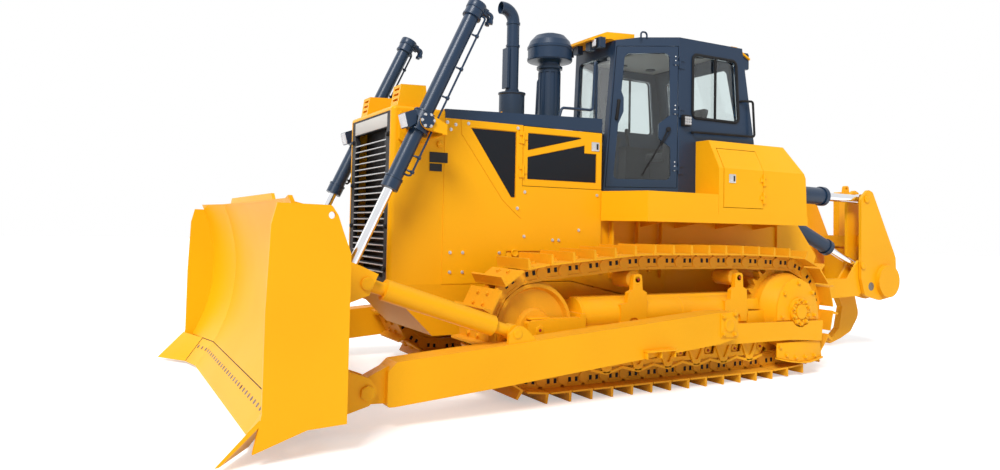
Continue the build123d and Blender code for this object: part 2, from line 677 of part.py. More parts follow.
def air_precleaner():
    """Intake tube with its bowl and domed cap."""
    x = 2320
    dome = upright([(0, 2600), (118, 2600), (112, 3230), (140, 3235), (140, 3262), (112, 3265),
                    (112, 3300), (238, 3320), (240, 3480), (215, 3540), (160, 3600), (80, 3626),
                    (0, 3631)], x, 0)
    for i in range(12):
        turn = i * 30
        rib = Pos(x, 0, 0) * Rot(0, 0, turn) * box(105, 122, -8, 8, 2680, 3200)
        dome += rib
    return dome - below_hood()


def hose_guard():
    """Louvred housing over the lift cylinder's hose fittings, on the nose."""
    face = outline([(3960, NOSE_TOP), (4260, NOSE_TOP), (4230, 2790), (3990, 2800)])
    body = side(face, 330, 520)
    for z in (2640, 2690, 2740):
        body -= box(4200, 4300, 360, 490, z, z + 22)
    return body


def lift_bracket():
    """Bearing arm on the nose that holds the lift cylinder's yoke."""
    x, z = LIFT_PIVOT
    face = outline([(x - 170, z - 150, 30), (x + 120, z - 150, 30), (x + 120, z + 120, 30),
                    (x - 170, z + 120, 30)])
    plate = side(face, GUARD_HALF, GUARD_HALF + 40)
    boss = pin(LIFT_PIVOT, GUARD_HALF, LIFT_Y - 102, 80)
    shelf = box(x - 190, x - 148, GUARD_HALF, LIFT_Y + 145, z - 110, z - 20)
    arm = side(outline([(x - 190, z - 110), (x, z - 75, 60), (x + 75, z, 60), (x, z + 75, 60),
                        (x - 190, z - 20)]), LIFT_Y + 105, LIFT_Y + 145)
    bores = pin(LIFT_PIVOT, LIFT_Y - 140, LIFT_Y + 150, YOKE_PIN + SEAT)
    return plate + boss + shelf + arm - bores


def yoke_room():
    """The lift cylinder's yoke and barrel as plain rounds, for the lamp to sit on."""
    pivot, eye = LIFT_PIVOT, LIFT_EYE
    collar = rod(at_y(along(pivot, eye, -85), LIFT_Y), at_y(along(pivot, eye, 85), LIFT_Y), 98)
    return collar + rod(at_y(along(pivot, eye, -400), LIFT_Y), at_y(along(pivot, eye, 400), LIFT_Y),
                        LIFT_BARREL_R)


def head_lamp():
    x, z = LIFT_PIVOT
    face = outline([(x + 80, z - 20), (x + 150, z - 70, 10), (x + 185, z + 60, 10), (x + 80, z + 100, 20)])
    return side(face, LIFT_Y - 60, LIFT_Y + 100) - yoke_room()


# ---- fenders, boxes, cab ----
def fender():
    """Deck beside the cab, its deep skirt and the lower flange."""
    high = make_face(Polyline((HOOD_REAR, CASE_HALF), (HOOD_REAR, HOOD_HALF + 2), (FENDER_FRONT, FENDER_Y),
                              (BOX_FRONT + 4, FENDER_Y), (BOX_FRONT + 4, CASE_HALF), close=True))
    low = make_face(Polyline((BOX_FRONT + 4, CASE_HALF), (BOX_FRONT + 4, FENDER_Y),
                             (FENDER_REAR, FENDER_Y), (FENDER_REAR, CASE_HALF), close=True))
    whole = plan(high, FENDER_TOP - 16, FENDER_TOP) + plan(low, BOX_LOW - 16, BOX_LOW)
    rim = Polyline((HOOD_REAR, HOOD_HALF + 8), (FENDER_FRONT - 4, FENDER_Y - 8),
                   (FENDER_REAR + 8, FENDER_Y - 8))
    front = Polyline((HOOD_REAR, HOOD_HALF + 8), (FENDER_FRONT - 4, FENDER_Y - 8),
                     (BOX_FRONT + 4, FENDER_Y - 8))
    whole += plan(trace(front, SKIRT), BOX_LOW, FENDER_TOP - 8)
    whole += plan(trace(rim, SKIRT + 8), FENDER_LOW, BOX_LOW)
    for x in (1500, 1000, 400, -200):
        rib = cross(outline([(CASE_HALF, FENDER_LOW - 60), (CASE_HALF, BOX_LOW - 10),
                             (FENDER_Y - 20, BOX_LOW - 10), (FENDER_Y - 20, FENDER_LOW + 20)]),
                    x, x + 16)
        whole += rib
    return whole


def side_box_form(inset):
    """Outer form of the side box, drawn in by the inset."""
    profile = make_face(Polyline((BOX_FRONT - inset, BOX_LOW + inset), (BOX_FRONT - inset, BOX_TOP - inset),
                                 (-242 + inset, BOX_TOP - inset), (-428 + inset, 2132),
                                 (BOX_REAR + inset, BOX_LOW + inset), close=True))
    section = make_face(Polyline((CAB_HALF + 2 + inset, BOX_LOW + inset), (FENDER_Y - inset, BOX_LOW + inset),
                                 (FENDER_Y - inset, BOX_KNEE), (BOX_TOP_Y - inset, BOX_TOP - inset),
                                 (CAB_HALF + 2 + inset, BOX_TOP - inset), close=True))
    return side(profile, CAB_HALF + 2 + inset, FENDER_Y - inset) & cross(section, BOX_REAR, BOX_FRONT)


DOOR_X = (252, 825)
DOOR_Z = (1775, 2400)
BOX_HINGE = (DOOR_X[0] - GAP / 2, FENDER_Y + HINGE_R)
BOX_HINGE_Z = (1830, 2020)


def door_cutter(gap):
    """Block that parts the side box's door from the box, with a gap all round."""
    return box(DOOR_X[0] - gap, DOOR_X[1] + 2 * gap, CAB_HALF + 60, FENDER_Y + 50, DOOR_Z[0] - gap,
               DOOR_Z[1] + gap)


def side_box():
    """Hollow box on the fender, open where its door closes it."""
    wall = 20
    shell = side_box_form(0) - side_box_form(wall)
    rear_fill = side_box_form(0) & box(BOX_REAR, 150, CAB_HALF, FENDER_Y, BOX_LOW, BOX_TOP)
    whole = shell + rear_fill - (door_cutter(GAP) - side_box_form(wall + 0.01))
    for z in BOX_HINGE_Z:
        whole += hinge(BOX_HINGE, z, (-1, 0), (1, 0))[0]
    return whole


def box_door():
    """Folded door of the side box: upright below, leaning in above."""
    wall = 20
    leaf = (side_box_form(0) - side_box_form(wall)) & door_cutter(0)
    for z in BOX_HINGE_Z:
        leaf += hinge(BOX_HINGE, z, (-1, 0), (1, 0))[1]
    return leaf


def fuel_tank():
    profile = make_face(Polyline((CAB_REAR - 4, BOX_LOW), (CAB_REAR - 4, BOX_TOP - 20), (-242, BOX_TOP - 20),
                                 (-428, 2132), (BOX_REAR, BOX_LOW), close=True))
    return side(profile, -CAB_HALF, CAB_HALF)


DOOR_DIR = Vector(CAB_NOSE_X - CAB_PILLAR_X, CAB_NOSE_HALF - CAB_HALF, 0).normalized()
DOOR_IN = Vector(DOOR_DIR.Y, -DOOR_DIR.X, 0)
DOOR_PLANE = Plane(origin=(CAB_PILLAR_X, CAB_HALF, 0), x_dir=DOOR_DIR, z_dir=DOOR_IN)
CAB_HINGE = (CAB_PILLAR_X + HINGE_R * (1 - DOOR_DIR.X) / abs(DOOR_DIR.Y), CAB_HALF + HINGE_R)
CAB_HINGE_Z = (2120, 2730, 3260)


def cab_form(inset):
    """Outer form of the cab, six-sided in plan, drawn in by the inset."""
    reach = 300
    nose = (CAB_NOSE_X + reach * DOOR_DIR.X / abs(DOOR_DIR.Y), CAB_NOSE_HALF - reach)
    ground = make_face(Polyline((CAB_PILLAR_X, CAB_HALF), nose, (nose[0], -nose[1]),
                                (CAB_PILLAR_X, -CAB_HALF), (CAB_REAR, -CAB_HALF), (CAB_REAR, CAB_HALF),
                                close=True))
    profile = make_face(Polyline((CAB_NOSE_X, CAB_LOW), (CAB_NOSE_X, 1950), (1713, CAB_TOP - 30),
                                 (1500, CAB_TOP), (212, CAB_TOP), (CAB_REAR, 2536),
                                 (CAB_REAR, CAB_LOW), close=True))
    if inset:
        ground = offset(ground, amount=-inset, kind=Kind.INTERSECTION)
        profile = offset(profile, amount=-inset, kind=Kind.INTERSECTION)
    return plan(ground, CAB_LOW + inset, CAB_TOP - inset) & side(profile, -CAB_HALF, CAB_HALF)


CAB_DOOR = [(16, 1975), (770, 1975), (668, 3500), (16, 3500)]
DOOR_GLASS = [(84, 2058, 50), (692, 2060, 50), (643, 2660), (588, 2790, 30), (588, 2940, 30),
              (614, 3015), (582, 3425, 60), (107, 3430, 60), (95, 2756), (215, 2661, 40),
              (215, 2503, 40), (88, 2408)]


def door_face(points):
    return DOOR_PLANE * outline(points)


def cab_door():
    """Framed door, hinged on the middle pillar, with its notched window."""
    leaf = extrude(door_face(CAB_DOOR), amount=CAB_WALL - 10)
    glass = extrude(door_face(DOOR_GLASS), amount=CAB_WALL)
    leaf -= glass
    for z in CAB_HINGE_Z:
        leaf += hinge(CAB_HINGE, z, (-1, 0), (DOOR_DIR.X, DOOR_DIR.Y), 70)[1]
    return leaf


def door_glass():
    pane = offset(outline(DOOR_GLASS), amount=-SEAT)
    return extrude(DOOR_PLANE.offset(20) * pane, amount=8)


SIDE_WINDOW = [(950, 2750, 50), (955, 3440, 50), (322, 3428, 50), (262, 2745, 50)]
REAR_WINDOW = [(-560, 2700, 60), (560, 2700, 60), (520, 3400, 60), (-520, 3400, 60)]
FRONT_WINDOW = [(-255, 2150, 40), (255, 2150, 40), (300, 3420, 60), (-300, 3420, 60)]


def sloped(x0, z0, x1, z1):
    """Plane through the two (x, z) points, x across the machine, y up the slope."""
    up = Vector(x1 - x0, 0, z1 - z0).normalized()
    return Plane(origin=(x0, 0, z0) , x_dir=(0, 1, 0), z_dir=Vector(0, 1, 0).cross(up))


def sloped_face(points, x0, z0, x1, z1):
    """Window face on a sloped wall: its corners are (y, z) heights along the slope."""
    lean = hypot(x1 - x0, z1 - z0) / (z1 - z0)
    raised = [(p[0], (p[1] - z0) * lean, *p[2:]) for p in points]
    return outline(raised)


FRONT_WALL = (CAB_NOSE_X, 1950, 1713, CAB_TOP - 30)
REAR_WALL = (CAB_REAR, 2536, 212, CAB_TOP)


def window_cut(points, wall):
    return extrude(sloped(*wall) * sloped_face(points, *wall), amount=CAB_WALL * 2, both=True)


def cab_body():
    """Hollow cab: floor, pillars, roof and the window openings."""
    shell = cab_form(0) - cab_form(CAB_WALL)
    doorway = offset(outline(CAB_DOOR), amount=GAP)
    opening = extrude(DOOR_PLANE.offset(-5) * doorway, amount=CAB_WALL + 15)
    shell -= opening
    shell -= right_of(opening)
    shell -= side(outline(SIDE_WINDOW), -CAB_HALF - 10, CAB_HALF + 10)
    shell -= window_cut(FRONT_WINDOW, FRONT_WALL)
    shell -= window_cut(REAR_WINDOW, REAR_WALL)
    for z in CAB_HINGE_Z:
        strap = hinge(CAB_HINGE, z, (-1, 0), (1, 0), 70)[0]
        shell += strap
        shell += right_of(strap)
    return shell


def pane(points, wall, depth):
    face = offset(sloped_face(points, *wall), amount=-SEAT)
    return extrude(sloped(*wall).offset(depth) * face, amount=8)


def cab_glass():
    side_pane = side(offset(outline(SIDE_WINDOW), amount=-SEAT), CAB_HALF - 30, CAB_HALF - 22)
    return [side_pane, right_of(side_pane), pane(FRONT_WINDOW, FRONT_WALL, -30),
            pane(REAR_WINDOW, REAR_WALL, 22)]


def cab_visor():
    """Sun visor over the windscreen."""
    form = side(outline([(1960, 3565), (1960, 3592), (1790, 3662), (1500, 3652), (1500, CAB_TOP - 30),
                         (1700, CAB_TOP - 30), (1735, 3590)]), -430, 430) - cab_form(0)
    corner = make_face(Polyline((1960, 250), (1480, 430), (1480, -430), (1960, -250), close=True))
    return form & plan(corner, 3500, 3700)


def cab_rear_cap():
    """Cap and lamp housing along the roof's rear edge."""
    cap = side(outline([(330, CAB_TOP), (330, CAB_TOP + 22), (240, CAB_TOP + 22), (30, 3520),
                        (30, 3500), (205, 3580)]), -700, 700)
    return cap - cab_form(0)


def work_lamps():
    """Roof lamps, front and rear."""
    front = [box(1830, 1900, y - 45, y + 45, 3480, 3590) - cab_visor() for y in (-300, -120, 120, 300)]
    rear = [box(40, 150, y - 60, y + 60, 3390, 3580) - cab_rear_cap() - cab_form(0)
            for y in (-620, 620)]
    return front + rear


def seat_base():
    return box(330, 720, -230, 230, CAB_LOW + CAB_WALL, SEAT_BASE_TOP) + box(700, 800, 260, 330, 2200, 2500)


def operator_seat():
    """Cushion and backrest as one soft block."""
    base = SEAT_BASE_TOP + SEAT
    return side(outline([(300, base), (820, base, 30), (830, 2440, 40), (420, 2430),
                         (260, 3020, 60), (150, 3000, 40)]), -250, 250)


def control_console():
    """Dash and lever consoles round the seat."""
    dash = side(outline([(1560, CAB_LOW + CAB_WALL), (1640, CAB_LOW + CAB_WALL), (1640, 2420),
                         (1540, 2560), (1480, 2520), (1540, 2380)]), -200, 200)
    pods = [box(380, 1000, y - 70, y + 70, CAB_LOW + CAB_WALL, 2520) for y in (-400, 400)]
    levers = [rod((900, y, 2500), (940, y, 2700), 18) for y in (-400, 400)]
    return [dash, pods[0] + levers[0], pods[1] + levers[1]]


def handrail():
    """Bent tube on the hood's edge beside the cab."""
    r = 14
    points = [(2560, 560, 2600), (2520, 560, 2730), (2140, 560, 2740), (2120, 560, 3240),
              (2040, 480, 3260), (2030, 470, 2620)]
    path = FilletPolyline(*points, radius=40)
    first = Vector(*points[1]) - Vector(*points[0])
    return sweep(Plane(origin=points[0], z_dir=first) * Circle(r), path=path) - below_hood()


# ---- blade gear ----
def push_arm():
    """Long box arm outside the track, from its trunnion to the blade."""
    y0, y1 = ARM_Y - ARM_WIDTH / 2, ARM_Y + ARM_WIDTH / 2
    x, z = TRUNNION
    form = outline([(x - 125, z + 120, 50), (x + 105, z + 128), (4630, 505, 30), (4700, 440, 40),
                    (4700, 180, 20), (4640, 178), (3739, 249), (x + 105, z - 168), (x - 125, z - 120, 50)])
    arm = side(form, y0, y1)
    socket = pin(TRUNNION, BEAM_Y - 60, BEAM_Y + 180, 82 + SEAT)
    arm -= socket
    eye = side(outline([(4600, 230), (4690, 200), (4850, 205), (4850, 395), (4690, 470), (4600, 470)]),
               ARM_Y - 60, ARM_Y + 60)
    arm += eye + pin(BLADE_PIN, ARM_Y - 60, ARM_Y + 60, 95)
    arm -= pin(BLADE_PIN, ARM_Y - 70, ARM_Y + 70, 45 + SEAT)
    lug = outline([(BRACE_REAR[0] - 260, 520), (BRACE_REAR[0] + 90, 520), (BRACE_REAR[0] + 75, 655, 40),
                   (BRACE_REAR[0] - 20, 735, 60), (BRACE_REAR[0] - 90, 690, 60)])
    for y in (ARM_Y - 100, ARM_Y + 65):
        arm += side(lug, y, y + 35)
    arm += pin(BRACE_REAR, ARM_Y - 100, ARM_Y + 100, 40)
    return arm


MOLD_R = 1570
MOLD_TOP = (5431, 1692)
MOLD_LOW = (5481, 271)
SKIN = 28


def arc_centre(a, b, radius):
    """Centre of the arc through a and b, on the side of larger x."""
    mx, mz = (a[0] + b[0]) / 2, (a[1] + b[1]) / 2
    dx, dz = b[0] - a[0], b[1] - a[1]
    chord = hypot(dx, dz)
    rise = sqrt(radius ** 2 - chord ** 2 / 4)
    side_x = 1 if dz > 0 else -1
    return (mx + side_x * dz / chord * rise, mz - side_x * dx / chord * rise)


def arc_mid(a, b, radius):
    cx, cz = arc_centre(a, b, radius)
    start = atan2(a[1] - cz, a[0] - cx) % (2 * pi)
    end = atan2(b[1] - cz, b[0] - cx) % (2 * pi)
    middle = (start + end) / 2
    return (cx + radius * cos(middle), cz + radius * sin(middle))


def mold_section(behind):
    """Curved plate between the moldboard's face and a parallel curve behind it."""
    radius = MOLD_R
    back_top = (MOLD_TOP[0] - behind, MOLD_TOP[1])
    back_low = (MOLD_LOW[0] - behind, MOLD_LOW[1])
    face = ThreePointArc(MOLD_LOW, arc_mid(MOLD_LOW, MOLD_TOP, radius), MOLD_TOP)
    top = Line(MOLD_TOP, back_top)
    back = ThreePointArc(back_top, arc_mid(back_low, back_top, radius), back_low)
    low = Line(back_low, MOLD_LOW)
    return make_face([face, top, back, low])


def sheared(face, y0, y1, rake):
    """Face in (x, z) swept from y0 to y1 while it moves forward by rake."""
    way = Vector(rake, y1 - y0, 0)
    plane = Plane(origin=(0, y0, 0), x_dir=(1, 0, 0), z_dir=(0, -1, 0))
    return extrude(plane * face, amount=way.length, dir=way.normalized())


def blade():
    """Semi-U moldboard with box beams, ribs, end plates and its lugs."""
    skin = mold_section(SKIN)
    wing_end = BLADE_HALF - END_PLATE
    whole = side(skin, -BLADE_BEND, BLADE_BEND)
    whole += sheared(skin, BLADE_BEND, wing_end, WING_RAKE)
    whole += sheared(skin, -BLADE_BEND, -wing_end, WING_RAKE)
    low_beam = outline([(5139, 213), (5480, 230), (5500, 290), (5300, 560), (5180, 640), (5139, 600)])
    top_beam = outline([(5230, 1640, 20), (5250, 1420), (5380, 1400), (5440, 1690)])
    mid_beam = outline([(5139, 900), (5139, 1160), (5300, 1180), (5290, 880)])
    limit = side(make_face([
        ThreePointArc(MOLD_LOW, arc_mid(MOLD_LOW, MOLD_TOP, MOLD_R), MOLD_TOP),
        Line(MOLD_TOP, (4400, MOLD_TOP[1])), Line((4400, MOLD_TOP[1]), (4400, 150)),
        Line((4400, 150), (MOLD_LOW[0], 150)), Line((MOLD_LOW[0], 150), MOLD_LOW)]),
        -BLADE_HALF, BLADE_HALF)
    frame = side(low_beam, -wing_end, wing_end) + side(top_beam, -BLADE_BEND, BLADE_BEND)
    frame += side(mid_beam, -1100, 1100)
    rib = outline([(5139, 213), (5480, 213), (5440, 1690), (5260, 1640), (5139, 1300)])
    for y in (-1390, -1180, -400, 400, 1180, 1390):
        frame += side(rib, y - 14, y + 14)
    whole += frame & limit
    crown = cross(outline([(-970, 1680), (970, 1680), (900, 1742), (-900, 1742)]), 5403, 5428)
    whole += crown
    end = outline([(5630, 1642), (5665, 1502), (5683, 974), (5683, 321), (5731, 86), (5398, 200),
                   (5139, 213), (5142, 1319), (5198, 1463), (5236, 1571, 60), (5281, 1636, 30)])
    for way in (-1, 1):
        y0, y1 = sorted((way * (BLADE_HALF - END_PLATE), way * BLADE_HALF))
        whole += side(end, y0, y1) - pin((5277, 1570), y0 - 5, y1 + 5, 24)
        whole += blade_lugs(way)
    return whole


def blade_lugs(way):
    """Lugs behind the blade on one side, for the arm, the brace and the lift rod."""
    arm = outline([(5150, 120), (4855 - 20, 205, 30), (4760, 300, 80), (4855 - 20, 400, 30),
                   (5150, 520)])
    brace = outline([(5150, 900), (4860, 1000), (4793, 1153), (4938, 1219, 20), (5150, 1300)])
    lift = outline([(5150, 620), (4870, 770, 60), (4790, 872, 60), (4870, 975, 60), (5150, 1150)])
    table = [  # outline, middle, half of the gap, thickness
        (arm, ARM_Y, 68, 42),
        (brace, ARM_Y, 82, 30),
        (lift, LIFT_Y, 84, 30),
    ]
    whole = box(5130, 5170, *sorted((way * (ARM_Y - 135), way * (ARM_Y + 135))), 213, 1300)
    for face, middle, gap, thick in table:
        for sign in (-1, 1):
            inner = way * middle + sign * gap
            y0, y1 = sorted((inner, inner + sign * thick))
            whole += side(face, y0, y1)
    pin_y0, pin_y1 = sorted((way * (ARM_Y - 120), way * (ARM_Y + 120)))
    return whole + pin(BLADE_PIN, pin_y0, pin_y1, 45) + pin(BRACE_FRONT, pin_y0, pin_y1, BRACE_PIN)


def cutting_edge():
    """Bolted edge along the bottom, turned forward on the wings, and the end bits."""
    low = (EDGE_LIP_X, EDGE_Z)
    back_low, back_high = (-EDGE_LIP, 2), (-EDGE_THICK, -12)
    face = outline([MOLD_LOW, low, (low[0] + back_low[0], low[1] + back_low[1]),
                    (MOLD_LOW[0] + back_high[0], MOLD_LOW[1] + back_high[1])])
    rake = WING_RAKE * (EDGE_END - BLADE_BEND) / (BLADE_HALF - END_PLATE - BLADE_BEND)
    x_low = low[0] + rake
    wings = [sheared(face, way * BLADE_BEND, way * EDGE_END, rake) for way in (-1, 1)]
    bits = []
    for way in (-1, 1):
        inner = Plane(origin=(0, way * EDGE_END, 0), x_dir=(1, 0, 0), z_dir=(0, -1, 0))
        outer = Plane(origin=(0, way * BLADE_HALF, 0), x_dir=(1, 0, 0), z_dir=(0, -1, 0))
        a = inner * outline([(MOLD_LOW[0] + 62, MOLD_LOW[1]), (x_low, EDGE_Z),
                             (x_low + back_low[0], EDGE_Z + back_low[1]),
                             (MOLD_LOW[0] + 28, MOLD_LOW[1] + back_high[1])])
        b = outer * outline([(5700, 290), (BIT_TIP, EDGE_Z),
                             (BIT_TIP + back_low[0], EDGE_Z + back_low[1]),
                             (5700 + back_high[0], 290 + back_high[1])])
        bits.append(loft([a, b], ruled=True))
    whole = side(face, -BLADE_BEND, BLADE_BEND)
    for piece in wings + bits:
        whole += piece
    return whole - blade()


def brace_tube():
    """Outer tube of the screw strut, swinging on the arm's pin."""
    rear, front = BRACE_REAR, BRACE_FRONT
    neck = along(rear, front, 70)
    start = along(rear, front, 190)
    end = along(rear, front, 1170)
    eye = pin(rear, ARM_Y - 60, ARM_Y + 60, 66) - pin(rear, ARM_Y - 70, ARM_Y + 70, 40 + SEAT)
    stem = rod(at_y(along(rear, front, 50), ARM_Y), at_y(start, ARM_Y), 48)
    stem -= pin(rear, ARM_Y - 70, ARM_Y + 70, 40 + SEAT)
    body = tube(at_y(start, ARM_Y), at_y(end, ARM_Y), 82, 50 + SEAT)
    plug = rod(at_y(start, ARM_Y), at_y(along(rear, front, 230), ARM_Y), 60)
    return eye + stem + body + plug


def brace_rod():
    """Screw of the strut with the ball end held at the blade."""
    rear, front = BRACE_REAR, BRACE_FRONT
    bar = rod(at_y(along(rear, front, 700), ARM_Y), at_y(front, ARM_Y), 50)
    knob = bar + pin(front, ARM_Y - 60, ARM_Y + 60, 76)
    return knob - pin(front, ARM_Y - 70, ARM_Y + 70, BRACE_PIN + 3)


def lift_barrel():
    """Lift cylinder: barrel, head block, gland and the yoke that it swings in."""
    pivot, eye = LIFT_PIVOT, LIFT_EYE
    top = at_y(along(pivot, eye, -LIFT_ABOVE), LIFT_Y)
    low = at_y(along(pivot, eye, LIFT_BELOW), LIFT_Y)
    body = tube(top, low, LIFT_BARREL_R, 52)
    head = rod(top, at_y(along(pivot, eye, -LIFT_ABOVE - 60), LIFT_Y), 80)
    cap = rod(at_y(along(pivot, eye, -LIFT_ABOVE + 70), LIFT_Y), top, 82)
    bore = rod(at_y(along(pivot, eye, -LIFT_ABOVE + 80), LIFT_Y), top, 52)
    gland = tube(at_y(along(pivot, eye, LIFT_BELOW - 90), LIFT_Y), low, 78, 42 + SEAT)
    collar = tube(at_y(along(pivot, eye, -85), LIFT_Y), at_y(along(pivot, eye, 85), LIFT_Y), 98, 60)
    stub = pin(pivot, LIFT_Y - 135, LIFT_Y - 75, YOKE_PIN) + pin(pivot, LIFT_Y + 75, LIFT_Y + 145, YOKE_PIN)
    return body + head + (cap - bore) + gland + collar + stub


def lift_rod():
    pivot, eye = LIFT_PIVOT, LIFT_EYE
    bar = rod(at_y(along(pivot, eye, 60), LIFT_Y), at_y(eye, LIFT_Y), 42)
    piston = rod(at_y(along(pivot, eye, 60), LIFT_Y), at_y(along(pivot, eye, 105), LIFT_Y), 50)
    return bar + piston + pin(eye, LIFT_Y - 78, LIFT_Y + 78, 64)


# ---- ripper ----
def ripper_mount():
    """Rear bracket: two pairs of plates that hold every pivot of the ripper."""
    plate = outline([(CASE_REAR, CASE_LOW + 130), (-940, 690, 40), (-1080, 740, 60), (-1100, 860, 60),
                     (-1250, 1240), (-930, 1600, 60), (-810, 1760), (-845, 1950), (-880, 2040, 60),
                     (-800, 2110, 60), (-700, 2080, 60), (CASE_REAR, 1700)])
    whole = box(CASE_REAR - 60, CASE_REAR, -CASE_HALF, CASE_HALF, CASE_LOW + 130, CASE_TOP)
    for y in (RIPPER_Y - 126, RIPPER_Y + 94):
        whole += side(plate, y, y + 32)
        whole += side(plate, -y - 32, -y)
    for at in (LINK_PIVOT, RIP_LIFT_BASE):
        whole += pin(at, RIPPER_Y - 145, RIPPER_Y + 145, BASE_PIN)
        whole += pin(at, -RIPPER_Y - 145, -RIPPER_Y + 145, BASE_PIN)
    return whole - pin(RIP_TILT_BASE, -800, 800, BASE_PIN + SEAT)


def ripper_link():
    """Lower link: two box arms and a cross tube, forked at the carriage."""
    px, pz = LINK_PIVOT
    qx, qz = LINK_PIN
    arm = outline([(px + 60, pz - 95, 60), (px + 60, pz + 95, 60), (px - 200, pz + 140), (qx + 170, qz + 100),
                   (qx + 170, qz - 120), (px - 200, pz - 110)])
    whole = None
    for way in (-1, 1):
        y0, y1 = sorted((way * (RIPPER_Y - 78), way * (RIPPER_Y + 78)))
        piece = side(arm, y0, y1)
        piece += pin(LINK_PIN, y0, y1, 95) + side(outline([(qx, qz - 80), (qx, qz + 80), (qx + 190, qz + 95),
                                                           (qx + 190, qz - 95)]), y0, y1)
        ear = outline([(RIP_LIFT_EYE[0] + 240, qz + 90), (RIP_LIFT_EYE[0] - 70, qz + 90),
                       (RIP_LIFT_EYE[0] - 75, RIP_LIFT_EYE[1] + 20, 40),
                       (RIP_LIFT_EYE[0], RIP_LIFT_EYE[1] + 85, 50),
                       (RIP_LIFT_EYE[0] + 75, RIP_LIFT_EYE[1] + 20, 40)])
        for inner in (RIPPER_Y - 78, RIPPER_Y + 49):
            e0, e1 = sorted((way * inner, way * (inner + 29)))
            piece += side(ear, e0, e1)
        piece -= pin(LINK_PIN, y0 - 5, y1 + 5, 55 + SEAT)
        piece -= pin(LINK_PIVOT, y0 - 5, y1 + 5, BASE_PIN + SEAT)
        whole = piece if whole is None else whole + piece
    return whole + pin((-1500, 830), -RIPPER_Y, RIPPER_Y, 90)


def ripper_pins():
    return pair(pin(LINK_PIN, RIPPER_Y - PLATE_OUT, RIPPER_Y + PLATE_OUT, 55))


def ripper_carriage():
    """Carriage: side plates, round beam with end discs, and the shank's pocket."""
    plate = outline([(-2265, 2107, 60), (-2359, 2073, 60), (-2842, 1215, 60), (RIPPER_REAR, 939, 120),
                     (-2760, 700, 120), (-2503, 660, 100), (-2200, 730, 60), (-2128, 949), (-2126, 1989, 60)])
    whole = None
    for way in (-1, 1):
        for inner in (RIPPER_Y - PLATE_OUT, RIPPER_Y + PLATE_IN):
            y0, y1 = sorted((way * inner, way * (inner + PLATE_OUT - PLATE_IN)))
            piece = side(plate, y0, y1) - pin(LINK_PIN, y0 - 5, y1 + 5, 55 + SEAT)
            whole = piece if whole is None else whole + piece
        y0, y1 = sorted((way * (RIPPER_Y + PLATE_OUT), way * (RIPPER_Y + PLATE_OUT + 53)))
        whole += pin((-2634, 912), y0, y1, 213)
    whole += pin((-2634, 912), -RIPPER_Y - PLATE_OUT, RIPPER_Y + PLATE_OUT, 165)
    pocket = box(-2800, -2360, -150, 150, 700, 1330)
    slot = box(SHANK_REAR - SEAT, SHANK_FRONT + SEAT, -SHANK_HALF - SEAT, SHANK_HALF + SEAT, 600, 1400)
    whole = whole + pocket + box(-2399, -2330, -RIPPER_Y - 100, RIPPER_Y + 100, 1350, 1500)
    return whole - slot


def ripper_shank():
    """Curved shank with its tip, standing in the carriage's pocket."""
    face = outline([(SHANK_FRONT, 2095, 20), (SHANK_FRONT, 640), (-2480, 520), (-2410, 230), (-2205, 60),
                    (-2230, 34), (-2450, 95), (-2655, 180, 120), (-2830, 400, 160), (SHANK_REAR, 690),
                    (SHANK_REAR, 2105, 20)])
    shank = side(face, -SHANK_HALF, SHANK_HALF)
    for z in (1500, 1700, 1900):
        shank -= pin((-2570, z), -60, 60, 28)
    eye = side(outline([(-2660, 2090), (-2540, 2090), (-2560, 2190, 30), (-2640, 2190, 30)]), -20, 20)
    return shank + eye - pin((-2600, 2150), -60, 60, 20)


def ripper_tilt_pins():
    """Pins the tilt cylinders swing on."""
    return [pin(RIP_TILT_BASE, RIPPER_Y - 145, RIPPER_Y + 145, BASE_PIN),
            pin(RIP_TILT_BASE, -RIPPER_Y - 145, -RIPPER_Y + 145, BASE_PIN)]


def ram(base, eye, start, length, inner, barrel_r, rod_r):
    """Barrel with its base eye, and the rod with its own eye, of one ripper cylinder.

    The barrel runs from start to length along the line from the base, and the rod's
    piston stands at inner.
    """
    def spot(distance):
        return at_y(along(base, eye, distance), RIPPER_Y)
    body = tube(spot(start), spot(length), barrel_r, barrel_r - 22)
    foot = rod(spot(0), spot(start + 15), 58) + rod(spot(start), spot(start + 15), barrel_r)
    gland = tube(spot(length - 60), spot(length), barrel_r + 14, rod_r + SEAT)
    barrel = body + foot + gland + pin(base, RIPPER_Y - 70, RIPPER_Y + 70, 76)
    barrel -= pin(base, RIPPER_Y - 80, RIPPER_Y + 80, BASE_PIN + SEAT)
    bar = rod(spot(inner), at_y(eye, RIPPER_Y), rod_r)
    bar += rod(spot(inner), spot(inner + 30), barrel_r - 22 - SEAT)
    bar += pin(eye, RIPPER_Y - 45, RIPPER_Y + 45, 66)
    return barrel, bar


